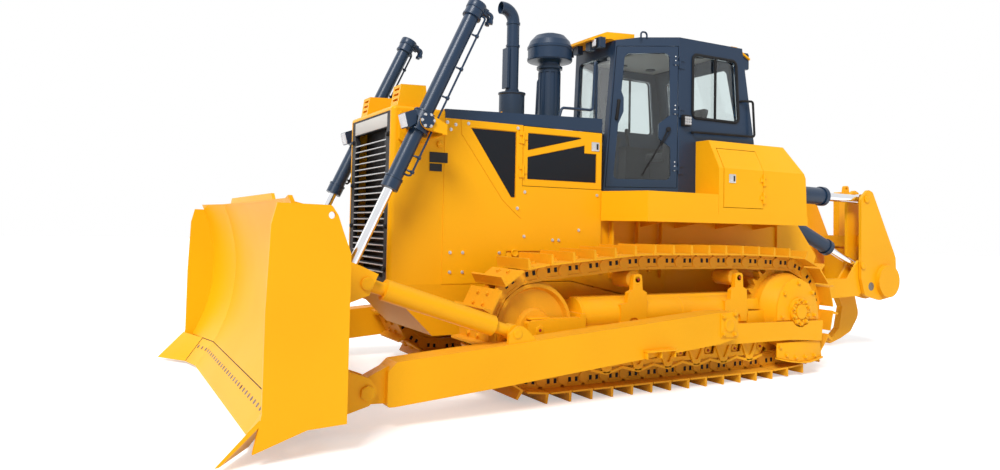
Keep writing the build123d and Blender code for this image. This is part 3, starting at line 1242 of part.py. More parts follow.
def main():
    os.makedirs("parts", exist_ok=True)
    one_track = track()
    save("tracks", pair(one_track))
    save("sprockets", pair(sprocket()))
    save("final_drives", pair(final_drive()))
    save("idlers", pair(idler()))
    save("idler_carriers", pair(idler_carrier()))
    rollers = track_rollers()
    rollers += [carrier_roller(x) for x in CARRIER_X]
    save("track_rollers", rollers, [right_of(r) for r in rollers])
    save("track_frames", pair(track_frame() + roller_guard()))
    save("main_frame", main_frame(), equalizer_bar())
    save("belly_guard", belly_guard())
    save("radiator_guard", radiator_guard() + lift_bracket() + right_of(lift_bracket()))
    save("grille", grille())
    save("engine_block", engine_block(), radiator_core())
    save("hood", hood())
    save("hood_strips", pair(hood_strip()))
    save("engine_side_panels", pair(side_panel()))
    save("engine_door_left", engine_door())
    save("engine_door_right", right_of(engine_door()))
    save("exhaust_stack", exhaust_stack())
    save("air_precleaner", air_precleaner())
    save("hose_guards", pair(hose_guard()))
    save("head_lamps", pair(head_lamp()))
    save("fenders", pair(fender()))
    save("side_boxes", pair(side_box()))
    save("box_door_left", box_door())
    save("box_door_right", right_of(box_door()))
    save("fuel_tank", fuel_tank())
    save("cab_body", cab_body())
    save("cab_door_left", cab_door())
    save("cab_door_right", right_of(cab_door()))
    save("door_glass_left", door_glass())
    save("door_glass_right", right_of(door_glass()))
    save("cab_glass", cab_glass())
    save("cab_trim", cab_visor(), cab_rear_cap())
    save("work_lamps", work_lamps())
    save("cab_fittings", seat_base(), control_console())
    save("operator_seat", operator_seat())
    save("handrails", pair(handrail()))
    save("push_arms", pair(push_arm()))
    save("blade", blade())
    save("cutting_edges", cutting_edge())
    save("brace_tubes", pair(brace_tube()))
    save("brace_rods", pair(brace_rod()))
    save("lift_barrels", pair(lift_barrel()))
    save("lift_rods", pair(lift_rod()))
    save("ripper_mount", ripper_mount())
    save("ripper_link", ripper_link())
    save("ripper_pins", ripper_pins())
    save("ripper_tilt_pins", ripper_tilt_pins())
    save("ripper_carriage", ripper_carriage())
    save("ripper_shank", ripper_shank())
    lift_case, lift_bar = ram(RIP_LIFT_BASE, RIP_LIFT_EYE, 225, 940, 460, 88, 45)
    save("ripper_lift_barrels", pair(lift_case))
    save("ripper_lift_rods", pair(lift_bar))
    tilt_case, tilt_bar = ram(RIP_TILT_BASE, RIP_TILT_EYE, 140, 770, 466, 108, 55)
    save("ripper_tilt_barrels", pair(tilt_case))
    save("ripper_tilt_rods", pair(tilt_bar))


main()
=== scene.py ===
# %% [markdown]
# # A crawler bulldozer, dressed for the studio
# The solid model of the machine is loaded as a fixed frame. Every finish and every
# small piece in this lesson is built on top of it and rides on one of its bodies,
# so the machine can still lift its blade, open its doors and move its ripper.

# %% Load the frame
import math
import bpy
from mathutils import Matrix, Vector


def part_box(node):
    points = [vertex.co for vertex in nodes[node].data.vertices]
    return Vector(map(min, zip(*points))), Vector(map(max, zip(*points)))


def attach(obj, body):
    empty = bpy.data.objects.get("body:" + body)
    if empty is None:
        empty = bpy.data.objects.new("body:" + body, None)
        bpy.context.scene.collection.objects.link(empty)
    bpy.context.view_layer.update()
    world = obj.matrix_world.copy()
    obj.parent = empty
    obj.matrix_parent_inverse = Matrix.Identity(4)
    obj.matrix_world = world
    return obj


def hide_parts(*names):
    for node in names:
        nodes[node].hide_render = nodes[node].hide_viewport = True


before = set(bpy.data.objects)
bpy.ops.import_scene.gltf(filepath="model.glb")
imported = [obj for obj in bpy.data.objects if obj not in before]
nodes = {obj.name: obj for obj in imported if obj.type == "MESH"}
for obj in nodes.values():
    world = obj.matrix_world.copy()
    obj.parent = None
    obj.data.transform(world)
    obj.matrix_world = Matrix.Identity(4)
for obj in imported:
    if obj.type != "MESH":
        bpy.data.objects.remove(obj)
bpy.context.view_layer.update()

# %% [markdown]
# ## Stations
# The machine was drawn from the axis of its sprocket, while the frame's origin is the
# middle of its length. One small function turns drawing numbers in millimetres into
# metres in the frame, so that every later cell can speak in drawing numbers.

# %% Drawing numbers to metres
AXIS_SHIFT = 1548.0


def at(x, y, z):
    """Point from drawing numbers in millimetres, sprocket axis at x 0."""
    return Vector(((x - AXIS_SHIFT) / 1000, y / 1000, z / 1000))


print("the sprocket's axis stands at", tuple(round(v, 3) for v in at(0, 1070, 686)))

# %% [markdown]
# ## Camera
# The camera stands low, ahead of the machine's left front corner, with a wide lens.
# It is set from a heading, a small upward pitch and a slight roll, because these are
# the numbers a photographer would note. Its shift keeps the machine high in the view.

# %% Camera
HEADING, PITCH, ROLL = math.radians(28.604), math.radians(2.368), math.radians(1.228)
look = Vector((-math.sin(HEADING) * math.cos(PITCH), -math.cos(HEADING) * math.cos(PITCH),
               math.sin(PITCH)))
flat_right = Vector((-math.cos(HEADING), math.sin(HEADING), 0))
flat_up = flat_right.cross(look)
right = flat_right * math.cos(ROLL) + flat_up * math.sin(ROLL)
up = flat_up * math.cos(ROLL) - flat_right * math.sin(ROLL)
camera_data = bpy.data.cameras.new("studio_camera")
camera = bpy.data.objects.new("studio_camera", camera_data)
bpy.context.scene.collection.objects.link(camera)
camera.matrix_world = Matrix.Translation(at(6675.34, 6858.41, 1517.68)) @ Matrix(
    (right, up, -look)).transposed().to_4x4()
camera_data.lens = 27.013
camera_data.sensor_width = 36
camera_data.shift_x = 0.0028
camera_data.shift_y = -0.0393
camera_data.clip_end = 200
bpy.context.scene.camera = camera
bpy.context.scene.view_settings.view_transform = "Standard"
print("the camera looks along", tuple(round(v, 3) for v in look))

# %% [markdown]
# ## Light and floor
# A white room: one broad lamp stands in for the sun through haze, a weaker one fills
# from the other side, and the world lights the rest. The floor and the world are white
# only to the camera, to mirrors and to glass; for everything else they stay a soft
# grey, so the machine is not washed out from below.


# %% Rays that see the room
def seen_rays(tree):
    """1 for rays from the camera, off a mirror or through glass, else 0."""
    path = tree.nodes.new("ShaderNodeLightPath")
    first = tree.nodes.new("ShaderNodeMath")
    first.operation = "MAXIMUM"
    tree.links.new(path.outputs["Is Camera Ray"], first.inputs[0])
    tree.links.new(path.outputs["Is Glossy Ray"], first.inputs[1])
    second = tree.nodes.new("ShaderNodeMath")
    second.operation = "MAXIMUM"
    tree.links.new(first.outputs[0], second.inputs[0])
    tree.links.new(path.outputs["Is Transmission Ray"], second.inputs[1])
    return second.outputs[0]


print("one test of rays serves the world and the floor")

# %% [markdown]
# ## The world
# The light from all sides is a cool, soft grey at half strength, which fills the shadows
# as an overcast sky would. A picture of a sky would give livelier mirrors, but plain
# light lets each colour come out as it was mixed.


# %% World
def studio_world():
    """Soft grey light all round, white to the eye."""
    world = bpy.data.worlds.new("white_room")
    bpy.context.scene.world = world
    world.use_nodes = True
    tree = world.node_tree
    tree.nodes.clear()
    out = tree.nodes.new("ShaderNodeOutputWorld")
    mix = tree.nodes.new("ShaderNodeMixShader")
    lit = tree.nodes.new("ShaderNodeBackground")
    lit.inputs["Color"].default_value = (0.93, 0.96, 1.0, 1)
    lit.inputs["Strength"].default_value = 0.50
    seen = tree.nodes.new("ShaderNodeBackground")
    seen.inputs["Color"].default_value = (1, 1, 1, 1)
    seen.inputs["Strength"].default_value = 1
    tree.links.new(seen_rays(tree), mix.inputs["Fac"])
    tree.links.new(lit.outputs[0], mix.inputs[1])
    tree.links.new(seen.outputs[0], mix.inputs[2])
    tree.links.new(mix.outputs[0], out.inputs["Surface"])


studio_world()
print("world:", bpy.context.scene.world.name)

# %% [markdown]
# ## The lamps
# The key is a hazy sun high over the machine's left front, broad enough that its shadow
# has a soft rim. A weak one opposite keeps the shaded side readable.


# %% Lamps
def sun(name, place, energy, spread):
    """Sun whose rays run from a place towards the machine, its disc spread over an angle."""
    data = bpy.data.lights.new(name, "SUN")
    data.energy = energy
    data.angle = math.radians(spread)
    made = bpy.data.objects.new(name, data)
    bpy.context.scene.collection.objects.link(made)
    made.location = place
    made.rotation_euler = (-place).to_track_quat("-Z", "Y").to_euler()
    return made


key = sun("hazy_sun", Vector((9, 9, 12)), 2.75, 20)
fill = sun("far_fill", Vector((6, -10, 8)), 0.5, 60)
print("lamps:", key.name, fill.name)

# %% [markdown]
# ## The floor
# A shadow under the tracks is what makes the machine stand on something. A huge disc
# could be pure white, but then the shadow would have nothing to darken, so it is a pale
# grey that glows a little for the eye alone.

# %% Floor
def floor_material():
    """Pale floor: a plain soft grey to light, white to the eye away from the shadow."""
    made = bpy.data.materials.new("pale_floor")
    made.use_nodes = True
    shader = made.node_tree.nodes["Principled BSDF"]
    shader.inputs["Base Color"].default_value = (0.82, 0.82, 0.82, 1)
    shader.inputs["Roughness"].default_value = 0.9
    shader.inputs["Emission Color"].default_value = (1, 1, 1, 1)
    glow = made.node_tree.nodes.new("ShaderNodeMath")
    glow.operation = "MULTIPLY"
    made.node_tree.links.new(seen_rays(made.node_tree), glow.inputs[0])
    glow.inputs[1].default_value = 0.45
    made.node_tree.links.new(glow.outputs[0], shader.inputs["Emission Strength"])
    return made


bpy.ops.object.select_all(action="DESELECT")
bpy.ops.mesh.primitive_circle_add(vertices=64, radius=60, fill_type="NGON", location=(0, 0, 0))
floor = bpy.context.object
floor.name = "studio_floor"
floor.data.materials.append(floor_material())
print("the floor is", round(floor.dimensions.x), "metres across")

# %% [markdown]
# ## Finishes
# Every finish is a Principled shader fed by a few shared groups. `paint_film` gives a
# painted plate its slow change of tone, its dust on the faces that look up and the
# orange-peel ripple of sprayed paint. `worn_steel` gives bare steel its rust tone,
# streaks and scratches. All of them read Object coordinates, in metres.


# %% Tools for node groups
def new_group(name, inputs, outputs):
    """Shader node group with named sockets; returns the group and its two end nodes."""
    tree = bpy.data.node_groups.new(name, "ShaderNodeTree")
    for label, kind, value in inputs:
        socket = tree.interface.new_socket(name=label, in_out="INPUT", socket_type=kind)
        socket.default_value = value
    for label, kind in outputs:
        tree.interface.new_socket(name=label, in_out="OUTPUT", socket_type=kind)
    start = tree.nodes.new("NodeGroupInput")
    end = tree.nodes.new("NodeGroupOutput")
    return tree, start, end


def node(tree, kind, links=(), **values):
    """A node with settings by attribute and inputs by name or number."""
    made = tree.nodes.new(kind)
    for key, value in values.items():
        setattr(made, key, value)
    for key, source in links:
        if isinstance(source, bpy.types.NodeSocket):
            tree.links.new(source, made.inputs[key])
        else:
            made.inputs[key].default_value = source
    return made


def noise(tree, place, scale, detail=3.0, rough=0.5, stretch=None):
    """Noise over Object coordinates, as a factor from 0 to 1."""
    where = place
    if stretch:
        where = node(tree, "ShaderNodeMapping", [("Vector", place), ("Scale", stretch)]).outputs[0]
    return node(tree, "ShaderNodeTexNoise", [("Vector", where), ("Scale", scale), ("Detail", detail),
                                             ("Roughness", rough)]).outputs["Fac"]


def band(tree, value, low, high, to_low=0.0, to_high=1.0):
    """Value mapped from one range to another and clamped."""
    return node(tree, "ShaderNodeMapRange", [("Value", value), ("From Min", low), ("From Max", high),
                                             ("To Min", to_low), ("To Max", to_high)]).outputs[0]


def mixed(tree, factor, first, second, blend="MIX"):
    """Two colours mixed by a factor."""
    made = node(tree, "ShaderNodeMix", data_type="RGBA", blend_type=blend)
    for key, source in ((0, factor), (6, first), (7, second)):
        if isinstance(source, bpy.types.NodeSocket):
            tree.links.new(source, made.inputs[key])
        else:
            made.inputs[key].default_value = source
    return made.outputs[2]


def maths(tree, operation, first, second):
    """Result of one sum on two values, each a number or a socket."""
    made = node(tree, "ShaderNodeMath", operation=operation)
    for key, source in ((0, first), (1, second)):
        if isinstance(source, bpy.types.NodeSocket):
            tree.links.new(source, made.inputs[key])
        else:
            made.inputs[key].default_value = source
    return made.outputs[0]

print("tools for node groups are ready")

# %% [markdown]
# ## Sprayed paint
# Enamel on a large plate is never one flat colour: it drifts, gathers dust on top and
# ripples like the skin of an orange. Three noises of very different size do this. Image
# textures would need unwrapping; noise in Object space needs none.

# %% Paint film
def paint_film_group():
    """Tone drift, dust on upward faces and orange peel of sprayed paint."""
    tree, start, end = new_group(
        "paint_film",
        [("Color", "NodeSocketColor", (0.8, 0.4, 0.02, 1)),
         ("Shade", "NodeSocketColor", (0.6, 0.3, 0.01, 1)),
         ("Dust", "NodeSocketFloat", 0.3),
         ("Gloss", "NodeSocketFloat", 0.35),
         ("Peel", "NodeSocketFloat", 0.1)],
        [("Color", "NodeSocketColor"), ("Roughness", "NodeSocketFloat"),
         ("Normal", "NodeSocketVector")])
    place = tree.nodes.new("ShaderNodeTexCoord").outputs["Object"]
    slow = band(tree, noise(tree, place, 0.9, 2), 0.35, 0.7)
    tone = mixed(tree, maths(tree, "MULTIPLY", slow, 0.35), start.outputs["Color"],
                 start.outputs["Shade"])
    fine = band(tree, noise(tree, place, 38, 6, 0.7), 0.45, 0.75)
    speck = maths(tree, "MULTIPLY", fine, 0.12)
    tone = mixed(tree, speck, tone, start.outputs["Shade"])
    facing = tree.nodes.new("ShaderNodeNewGeometry")
    split = node(tree, "ShaderNodeSeparateXYZ", [("Vector", facing.outputs["Normal"])])
    upward = band(tree, split.outputs["Z"], 0.25, 0.95)
    patch = band(tree, noise(tree, place, 5, 5, 0.65), 0.35, 0.75, 0.25, 1.0)
    dusty = maths(tree, "MULTIPLY", maths(tree, "MULTIPLY", upward, patch), start.outputs["Dust"])
    tone = mixed(tree, dusty, tone, (0.42, 0.36, 0.27, 1))
    tree.links.new(tone, end.inputs["Color"])
    dull = maths(tree, "ADD", start.outputs["Gloss"], maths(tree, "MULTIPLY", dusty, 0.4))
    dull = maths(tree, "ADD", dull, maths(tree, "MULTIPLY", slow, 0.08))
    tree.links.new(dull, end.inputs["Roughness"])
    ripple = node(tree, "ShaderNodeBump", [("Height", noise(tree, place, 160, 2)),
                                           ("Strength", start.outputs["Peel"]),
                                           ("Distance", 0.001)])
    tree.links.new(ripple.outputs[0], end.inputs["Normal"])
    return tree


paint_film = paint_film_group()
print("group", paint_film.name, "has", len(paint_film.nodes), "nodes")

# %% [markdown]
# ## Bare steel
# The ripper's pins lose their paint first. Rust grows where a cloudy noise passes a
# limit, and long thin scratches come from a noise squeezed along one axis. Where rust
# wins the surface stops being a metal.

# %% Worn steel
def worn_steel_group():
    """Bare or rusting steel: rust in the hollows of the noise, streaks and scratches."""
    tree, start, end = new_group(
        "worn_steel",
        [("Color", "NodeSocketColor", (0.3, 0.29, 0.28, 1)),
         ("Rust", "NodeSocketColor", (0.16, 0.08, 0.04, 1)),
         ("Amount", "NodeSocketFloat", 0.4),
         ("Roughness", "NodeSocketFloat", 0.45),
         ("Scale", "NodeSocketFloat", 6.0),
         ("Relief", "NodeSocketFloat", 0.3)],
        [("Color", "NodeSocketColor"), ("Roughness", "NodeSocketFloat"),
         ("Metallic", "NodeSocketFloat"), ("Normal", "NodeSocketVector")])
    place = tree.nodes.new("ShaderNodeTexCoord").outputs["Object"]
    cloud = noise(tree, place, start.outputs["Scale"], 8, 0.65)
    limit = maths(tree, "SUBTRACT", 0.75, maths(tree, "MULTIPLY", start.outputs["Amount"], 0.5))
    rust = node(tree, "ShaderNodeMapRange", [("Value", cloud), ("From Min", limit),
                                             ("From Max", maths(tree, "ADD", limit, 0.12))]).outputs[0]
    scratch = band(tree, noise(tree, place, 60, 3, 0.6, (1, 0.08, 1)), 0.5, 0.7)
    tone = mixed(tree, maths(tree, "MULTIPLY", scratch, 0.25), start.outputs["Color"],
                 (0.55, 0.54, 0.52, 1))
    tone = mixed(tree, rust, tone, start.outputs["Rust"])
    tree.links.new(tone, end.inputs["Color"])
    rough = maths(tree, "ADD", start.outputs["Roughness"], maths(tree, "MULTIPLY", rust, 0.35))
    tree.links.new(rough, end.inputs["Roughness"])
    tree.links.new(band(tree, rust, 0, 1, 0.9, 0.1), end.inputs["Metallic"])
    relief = node(tree, "ShaderNodeBump", [("Height", noise(tree, place, 90, 6, 0.7)),
                                           ("Strength", start.outputs["Relief"]),
                                           ("Distance", 0.002)])
    tree.links.new(relief.outputs[0], end.inputs["Normal"])
    return tree


worn_steel = worn_steel_group()
print("group", worn_steel.name, "has", len(worn_steel.nodes), "nodes")

# %% [markdown]
# ## The paints
# Two yellows part the body from the heavier frame, navy covers the cab's frame and the
# cylinders, and a darker, duller yellow is for the tracks: duller for their dust and wear,
# darker as painted shade for chains that sit low in shade. Each is one call with its own
# numbers, so that a change in the film reaches every paint at once.

# %% Materials from the groups
def blank(name):
    """New material with its node tree and its Principled shader."""
    made = bpy.data.materials.new(name)
    made.use_nodes = True
    return made, made.node_tree, made.node_tree.nodes["Principled BSDF"]


def painted(name, color, shade, dust=0.08, gloss=0.38, peel=0.12, coat=0.03, shine=0.16):
    made, tree, shader = blank(name)
    film = tree.nodes.new("ShaderNodeGroup")
    film.node_tree = paint_film
    for key, value in (("Color", color), ("Shade", shade), ("Dust", dust), ("Gloss", gloss),
                       ("Peel", peel)):
        film.inputs[key].default_value = value
    tree.links.new(film.outputs["Color"], shader.inputs["Base Color"])
    tree.links.new(film.outputs["Roughness"], shader.inputs["Roughness"])
    tree.links.new(film.outputs["Normal"], shader.inputs["Normal"])
    shader.inputs["Coat Weight"].default_value = coat
    shader.inputs["Coat Roughness"].default_value = 0.15
    shader.inputs["Specular IOR Level"].default_value = shine
    return made


def steel(name, color, rust, amount=0.4, rough=0.45, scale=6.0, relief=0.3):
    made, tree, shader = blank(name)
    film = tree.nodes.new("ShaderNodeGroup")
    film.node_tree = worn_steel
    for key, value in (("Color", color), ("Rust", rust), ("Amount", amount), ("Roughness", rough),
                       ("Scale", scale), ("Relief", relief)):
        film.inputs[key].default_value = value
    for key, target in (("Color", "Base Color"), ("Roughness", "Roughness"),
                        ("Metallic", "Metallic"), ("Normal", "Normal")):
        tree.links.new(film.outputs[key], shader.inputs[target])
    return made


yellow = painted("machine_yellow", (0.94, 0.44, 0.004, 1), (0.84, 0.36, 0.003, 1))
yellow_frame = painted("frame_yellow", (0.90, 0.415, 0.004, 1), (0.72, 0.30, 0.003, 1), dust=0.12,
                       gloss=0.42)
navy = painted("dark_navy", (0.010, 0.030, 0.068, 1), (0.006, 0.017, 0.038, 1), dust=0.02,
               gloss=0.34, shine=0.35, coat=0.05)
# Track yellow: dust and wear, plus a darker tone that is painted shade for the chains.
track_yellow_worn_shaded = painted("track_yellow_worn_shaded", (0.84, 0.38, 0.010, 1), (0.56, 0.235, 0.008, 1), dust=0.1,
                       gloss=0.45)
edge_steel = steel("edge_steel", (0.20, 0.18, 0.16, 1), (0.10, 0.06, 0.035, 1), 0.45, 0.5)
print("painted and steel finishes:", yellow.name, navy.name, edge_steel.name)

# %% [markdown]
# ## Chrome, glass, plastic and cloth
# These are plainer. Rods are polished chrome, seals are matt rubber, the seat is woven.
# Glass is tinted slightly so that the cab reads as glazed, and its transmission is kept
# whole because a half-mixed glass looks like fog.

# %% Chrome, glass, plastic and cloth
def plain(name, color, rough, metallic=0.0, ripple=0.0, scale=200.0):
    """Even finish whose roughness drifts a little, with an optional fine ripple."""
    made, tree, shader = blank(name)
    place = tree.nodes.new("ShaderNodeTexCoord").outputs["Object"]
    cloud = band(tree, noise(tree, place, 7, 4), 0.3, 0.7)
    shader.inputs["Metallic"].default_value = metallic
    shader.inputs["Specular IOR Level"].default_value = 0.5 if metallic else 0.22
    tone = mixed(tree, maths(tree, "MULTIPLY", cloud, 0.25), color,
                 tuple(c * 0.75 for c in color[:3]) + (1,))
    tree.links.new(tone, shader.inputs["Base Color"])
    tree.links.new(band(tree, cloud, 0, 1, rough * 0.85, rough * 1.2), shader.inputs["Roughness"])
    if ripple:
        bump = node(tree, "ShaderNodeBump", [("Height", noise(tree, place, scale, 3)),
                                             ("Strength", ripple), ("Distance", 0.001)])
        tree.links.new(bump.outputs[0], shader.inputs["Normal"])
    return made


chrome = plain("rod_chrome", (0.78, 0.79, 0.82, 1), 0.09, 1.0)
zinc = plain("bolt_zinc", (0.62, 0.62, 0.62, 1), 0.35, 0.8, 0.1)
black_plastic = plain("black_plastic", (0.02, 0.02, 0.022, 1), 0.5, 0.0, 0.3, 500)
core_metal = plain("core_metal", (0.03, 0.03, 0.032, 1), 0.6, 0.3, 0.3, 300)
rubber = plain("seal_rubber", (0.012, 0.012, 0.013, 1), 0.65, 0.0, 0.2, 400)


print("plain finishes:", chrome.name, zinc.name, black_plastic.name, rubber.name)

# %% [markdown]
# ## Cab glass
# Cab panes are plain flat sheets with a slight grey tint and a film of dust that blurs
# them here and there. Only the roughness varies; tint and transmission stay whole.


# %% Glass
def tinted_glass():
    """Cab glass, slightly grey: it mirrors the room and lets the seat show."""
    made, tree, shader = blank("cab_glass")
    shader.inputs["Base Color"].default_value = (0.80, 0.86, 0.86, 1)
    shader.inputs["IOR"].default_value = 1.45
    shader.inputs["Transmission Weight"].default_value = 1.0
    place = tree.nodes.new("ShaderNodeTexCoord").outputs["Object"]
    film = band(tree, noise(tree, place, 3, 4), 0.4, 0.8, 0.015, 0.05)
    tree.links.new(film, shader.inputs["Roughness"])
    return made


glass = tinted_glass()
print("glass:", glass.name)

# %% [markdown]
# ## Woven seat cover
# The cover is a coarse black weave. Two wave patterns at right angles, multiplied, give
# threads that pass over and under; a picture of cloth would need the pad unwrapped.


# %% Seat cover
def seat_cloth():
    """Woven seat cover: a fine over-and-under weave with fuzz."""
    made, tree, shader = blank("woven_cover")
    place = tree.nodes.new("ShaderNodeTexCoord").outputs["Object"]
    warp = node(tree, "ShaderNodeTexWave", [("Vector", place), ("Scale", 160.0), ("Distortion", 0.6)],
                bands_direction="X").outputs["Fac"]
    weft = node(tree, "ShaderNodeTexWave", [("Vector", place), ("Scale", 160.0), ("Distortion", 0.6)],
                bands_direction="Z").outputs["Fac"]
    weave = maths(tree, "MULTIPLY", warp, weft)
    tone = mixed(tree, weave, (0.012, 0.012, 0.014, 1), (0.05, 0.05, 0.055, 1))
    tree.links.new(tone, shader.inputs["Base Color"])
    shader.inputs["Roughness"].default_value = 0.85
    shader.inputs["Sheen Weight"].default_value = 0.3
    bump = node(tree, "ShaderNodeBump", [("Height", weave), ("Strength", 0.5), ("Distance", 0.002)])
    tree.links.new(bump.outputs[0], shader.inputs["Normal"])
    return made


cloth = seat_cloth()
print("soft finish:", cloth.name)

# %% [markdown]
# ## Finishes on the frame's own nodes
# A node whose shape is already right only needs a better finish. One table says which.

# %% Dress the nodes
finish_of = {
    "yellow": (yellow, ["radiator_guard", "hood", "engine_side_panels", "engine_door_left",
                        "engine_door_right", "hose_guards", "fenders", "side_boxes", "box_door_left",
                        "box_door_right", "fuel_tank", "cab_trim", "blade", "cutting_edges",
                        "brace_rods"]),
    "frame": (yellow_frame, ["final_drives", "idler_carriers", "track_frames", "main_frame",
                             "belly_guard", "push_arms", "brace_tubes", "ripper_mount",
                             "ripper_link", "ripper_carriage", "ripper_shank"]),
    "navy": (navy, ["hood_strips", "exhaust_stack", "air_precleaner", "cab_body", "cab_door_left",
                    "cab_door_right", "handrails", "lift_barrels", "ripper_lift_barrels",
                    "ripper_tilt_barrels", "head_lamps", "work_lamps"]),
    "track": (track_yellow_worn_shaded, ["tracks", "sprockets", "idlers", "track_rollers"]),
    "edge": (edge_steel, ["ripper_pins", "ripper_tilt_pins"]),
    "chrome": (chrome, ["lift_rods", "ripper_lift_rods", "ripper_tilt_rods"]),
    "core": (core_metal, ["engine_block"]),
    "plastic": (black_plastic, ["cab_fittings", "grille"]),
    "glass": (glass, ["cab_glass", "door_glass_left", "door_glass_right"]),
    "cloth": (cloth, ["operator_seat"]),
}
dressed = 0
for finish, names in finish_of.values():
    for name in names:
        for slot in nodes[name].material_slots:
            slot.material = finish
        dressed += 1
print("dressed", dressed, "of", len(nodes), "nodes")

# %% [markdown]
# ## Tools of the bench
# Small hardware repeats all over the machine. Each kind is modelled once by hand-like
# steps (a primitive, a bevel, an inset) and then copied, every copy with its own mesh.
# Finished pieces are joined by body, so that one piece holds, say, all bolts of a door.


def clear():
    """Nothing selected, so that the next operator acts on its own object alone."""
    bpy.ops.object.select_all(action="DESELECT")


def only(piece):
    """Make this piece the one selected and active object."""
    clear()
    piece.select_set(True)
    bpy.context.view_layer.objects.active = piece


def settle(piece):
    """Move the object's place into its mesh, so that it sits at the origin."""
    only(piece)
    bpy.ops.object.transform_apply(location=True, rotation=True, scale=True)
    return piece


# %% [markdown]
# ## Picking faces, joining, dressing
# Faces are picked by a test on their place or normal, as one would click them. Pieces of
# one kind and one body are joined, and dressing gives the whole its finish, its smooth
# shading below a limiting angle and the body that carries it.


# %% Pick, join, dress
def pick_faces(piece, wanted):
    """Enter edit mode with just the wanted faces selected."""
    only(piece)
    bpy.ops.object.mode_set(mode="EDIT")
    bpy.ops.mesh.select_mode(type="FACE")
    bpy.ops.mesh.select_all(action="DESELECT")
    bpy.ops.object.mode_set(mode="OBJECT")
    for face in piece.data.polygons:
        face.select = bool(wanted(face))
    bpy.ops.object.mode_set(mode="EDIT")


def joined(name, pieces):
    """Several pieces as one object."""
    only(pieces[0])
    for piece in pieces[1:]:
        piece.select_set(True)
    if len(pieces) > 1:
        bpy.ops.object.join()
    pieces[0].name = name
    return pieces[0]


def dress(piece, material, body, angle=35):
    """Give a finished piece its material, its shading and the body it rides on."""
    piece.data.materials.clear()
    piece.data.materials.append(material)
    only(piece)
    bpy.ops.object.shade_smooth_by_angle(angle=math.radians(angle))
    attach(piece, body)
    return piece

print("pieces can be picked, joined and dressed")

# %% [markdown]
# ## Five basic forms
# Nearly all hardware is one of five forms: a block with broken edges, a turned bar, a
# bent pipe, a flat plate with an outline or something spun on a lathe. Each starts as
# the plainest mesh and is finished by a bevel, because a real edge always has a radius
# that catches light. Drawing millimetres go in, and metres in the frame come out.

# %% Blocks
def block(name, low, high, bevel=4, segments=2):
    """Block between two corners in drawing millimetres, its edges broken."""
    clear()
    first, second = at(*low), at(*high)
    bpy.ops.mesh.primitive_cube_add(size=1, location=(first + second) / 2)
    piece = bpy.context.object
    piece.name = name
    piece.scale = [abs(b - a) for a, b in zip(first, second)]
    settle(piece)
    bpy.ops.object.mode_set(mode="EDIT")
    bpy.ops.mesh.select_all(action="SELECT")
    bpy.ops.mesh.bevel(offset=bevel / 1000, segments=segments, affect="EDGES")
    bpy.ops.object.mode_set(mode="OBJECT")
    return piece


print("blocks have a bevel on every edge")

# %% [markdown]
# ## Turned bars and bands
# Pins, caps and rims are turned on a lathe: round about a line, with a broken rim and
# often a dished end. A cylinder between two points, with its end faces bevelled and
# inset, is enough. A band that something slides through gets its wall from Solidify.


# %% Turned bars and bands
def cylinder(name, first, second, radius, count, ends="NGON"):
    """Cylinder of count sides between two points in the frame's metres."""
    clear()
    turn = (second - first).to_track_quat("Z", "Y").to_euler()
    bpy.ops.mesh.primitive_cylinder_add(vertices=count, radius=radius / 1000,
                                        depth=(second - first).length, end_fill_type=ends,
                                        location=(first + second) / 2, rotation=turn)
    piece = settle(bpy.context.object)
    piece.name = name
    return piece


def bar(name, start, end, radius, count=24, rim=3, inset=0.0, sink=0.0):
    """Turned bar between two points, rims broken, its ends dished by inset and sink."""
    first, second = at(*start), at(*end)
    piece = cylinder(name, first, second, radius, count)
    pick_faces(piece, lambda face: len(face.vertices) > 4)
    bpy.ops.mesh.bevel(offset=rim / 1000, segments=2, affect="EDGES")
    bpy.ops.object.mode_set(mode="OBJECT")
    if inset:
        for tip in (first, second):
            pick_faces(piece, lambda face: len(face.vertices) > 4
                       and (face.center - tip).length < 0.02)
            bpy.ops.mesh.inset(thickness=inset / 1000)
            inward = (first + second) / 2 - tip
            bpy.ops.transform.translate(value=inward.normalized() * sink / 1000)
            bpy.ops.object.mode_set(mode="OBJECT")
    return piece


def cap(name, way, x, z, y0, y1, radius, count=28, rim=4, inset=0.0, sink=0.0):
    """Turned bar across the machine, from y0 to y1 on its left (1) or right (-1)."""
    return bar(name, (x, way * y0, z), (x, way * y1, z), radius, count, rim, inset, sink)


def hoop(name, start, end, radius, wall):
    """Hollow band between two points, with room for what slides inside it."""
    piece = cylinder(name, at(*start), at(*end), radius, 32, "NOTHING")
    wrap = piece.modifiers.new("wall", "SOLIDIFY")
    wrap.thickness = wall / 1000
    wrap.offset = -1
    bpy.ops.object.modifier_apply(modifier=wrap.name)
    return piece


print("bars can be dished, and bands are hollow")

# %% [markdown]
# ## Pipes
# A steel pipe is bent cold, so its line has straight runs and round corners. Corner
# points are rounded by a vertex bevel and the line is then given body as a curve.


# %% Pipes
def pipe(name, points, radius, bend=40, steps=6, resolution=3):
    """Rigid pipe through corner points: the corners are rounded, then the line gets body."""
    mesh = bpy.data.meshes.new(name)
    mesh.from_pydata([at(*p) for p in points], [(i, i + 1) for i in range(len(points) - 1)], [])
    piece = bpy.data.objects.new(name, mesh)
    bpy.context.scene.collection.objects.link(piece)
    only(piece)
    if bend:
        bpy.ops.object.mode_set(mode="EDIT")
        bpy.ops.mesh.select_all(action="SELECT")
        bpy.ops.mesh.bevel(offset=bend / 1000, segments=steps, affect="VERTICES")
        bpy.ops.object.mode_set(mode="OBJECT")
    bpy.ops.object.convert(target="CURVE")
    piece = bpy.context.object
    piece.data.bevel_depth = radius / 1000
    piece.data.bevel_resolution = resolution
    piece.data.use_fill_caps = True
    bpy.ops.object.convert(target="MESH")
    return bpy.context.object


print("pipes are closed at their ends")

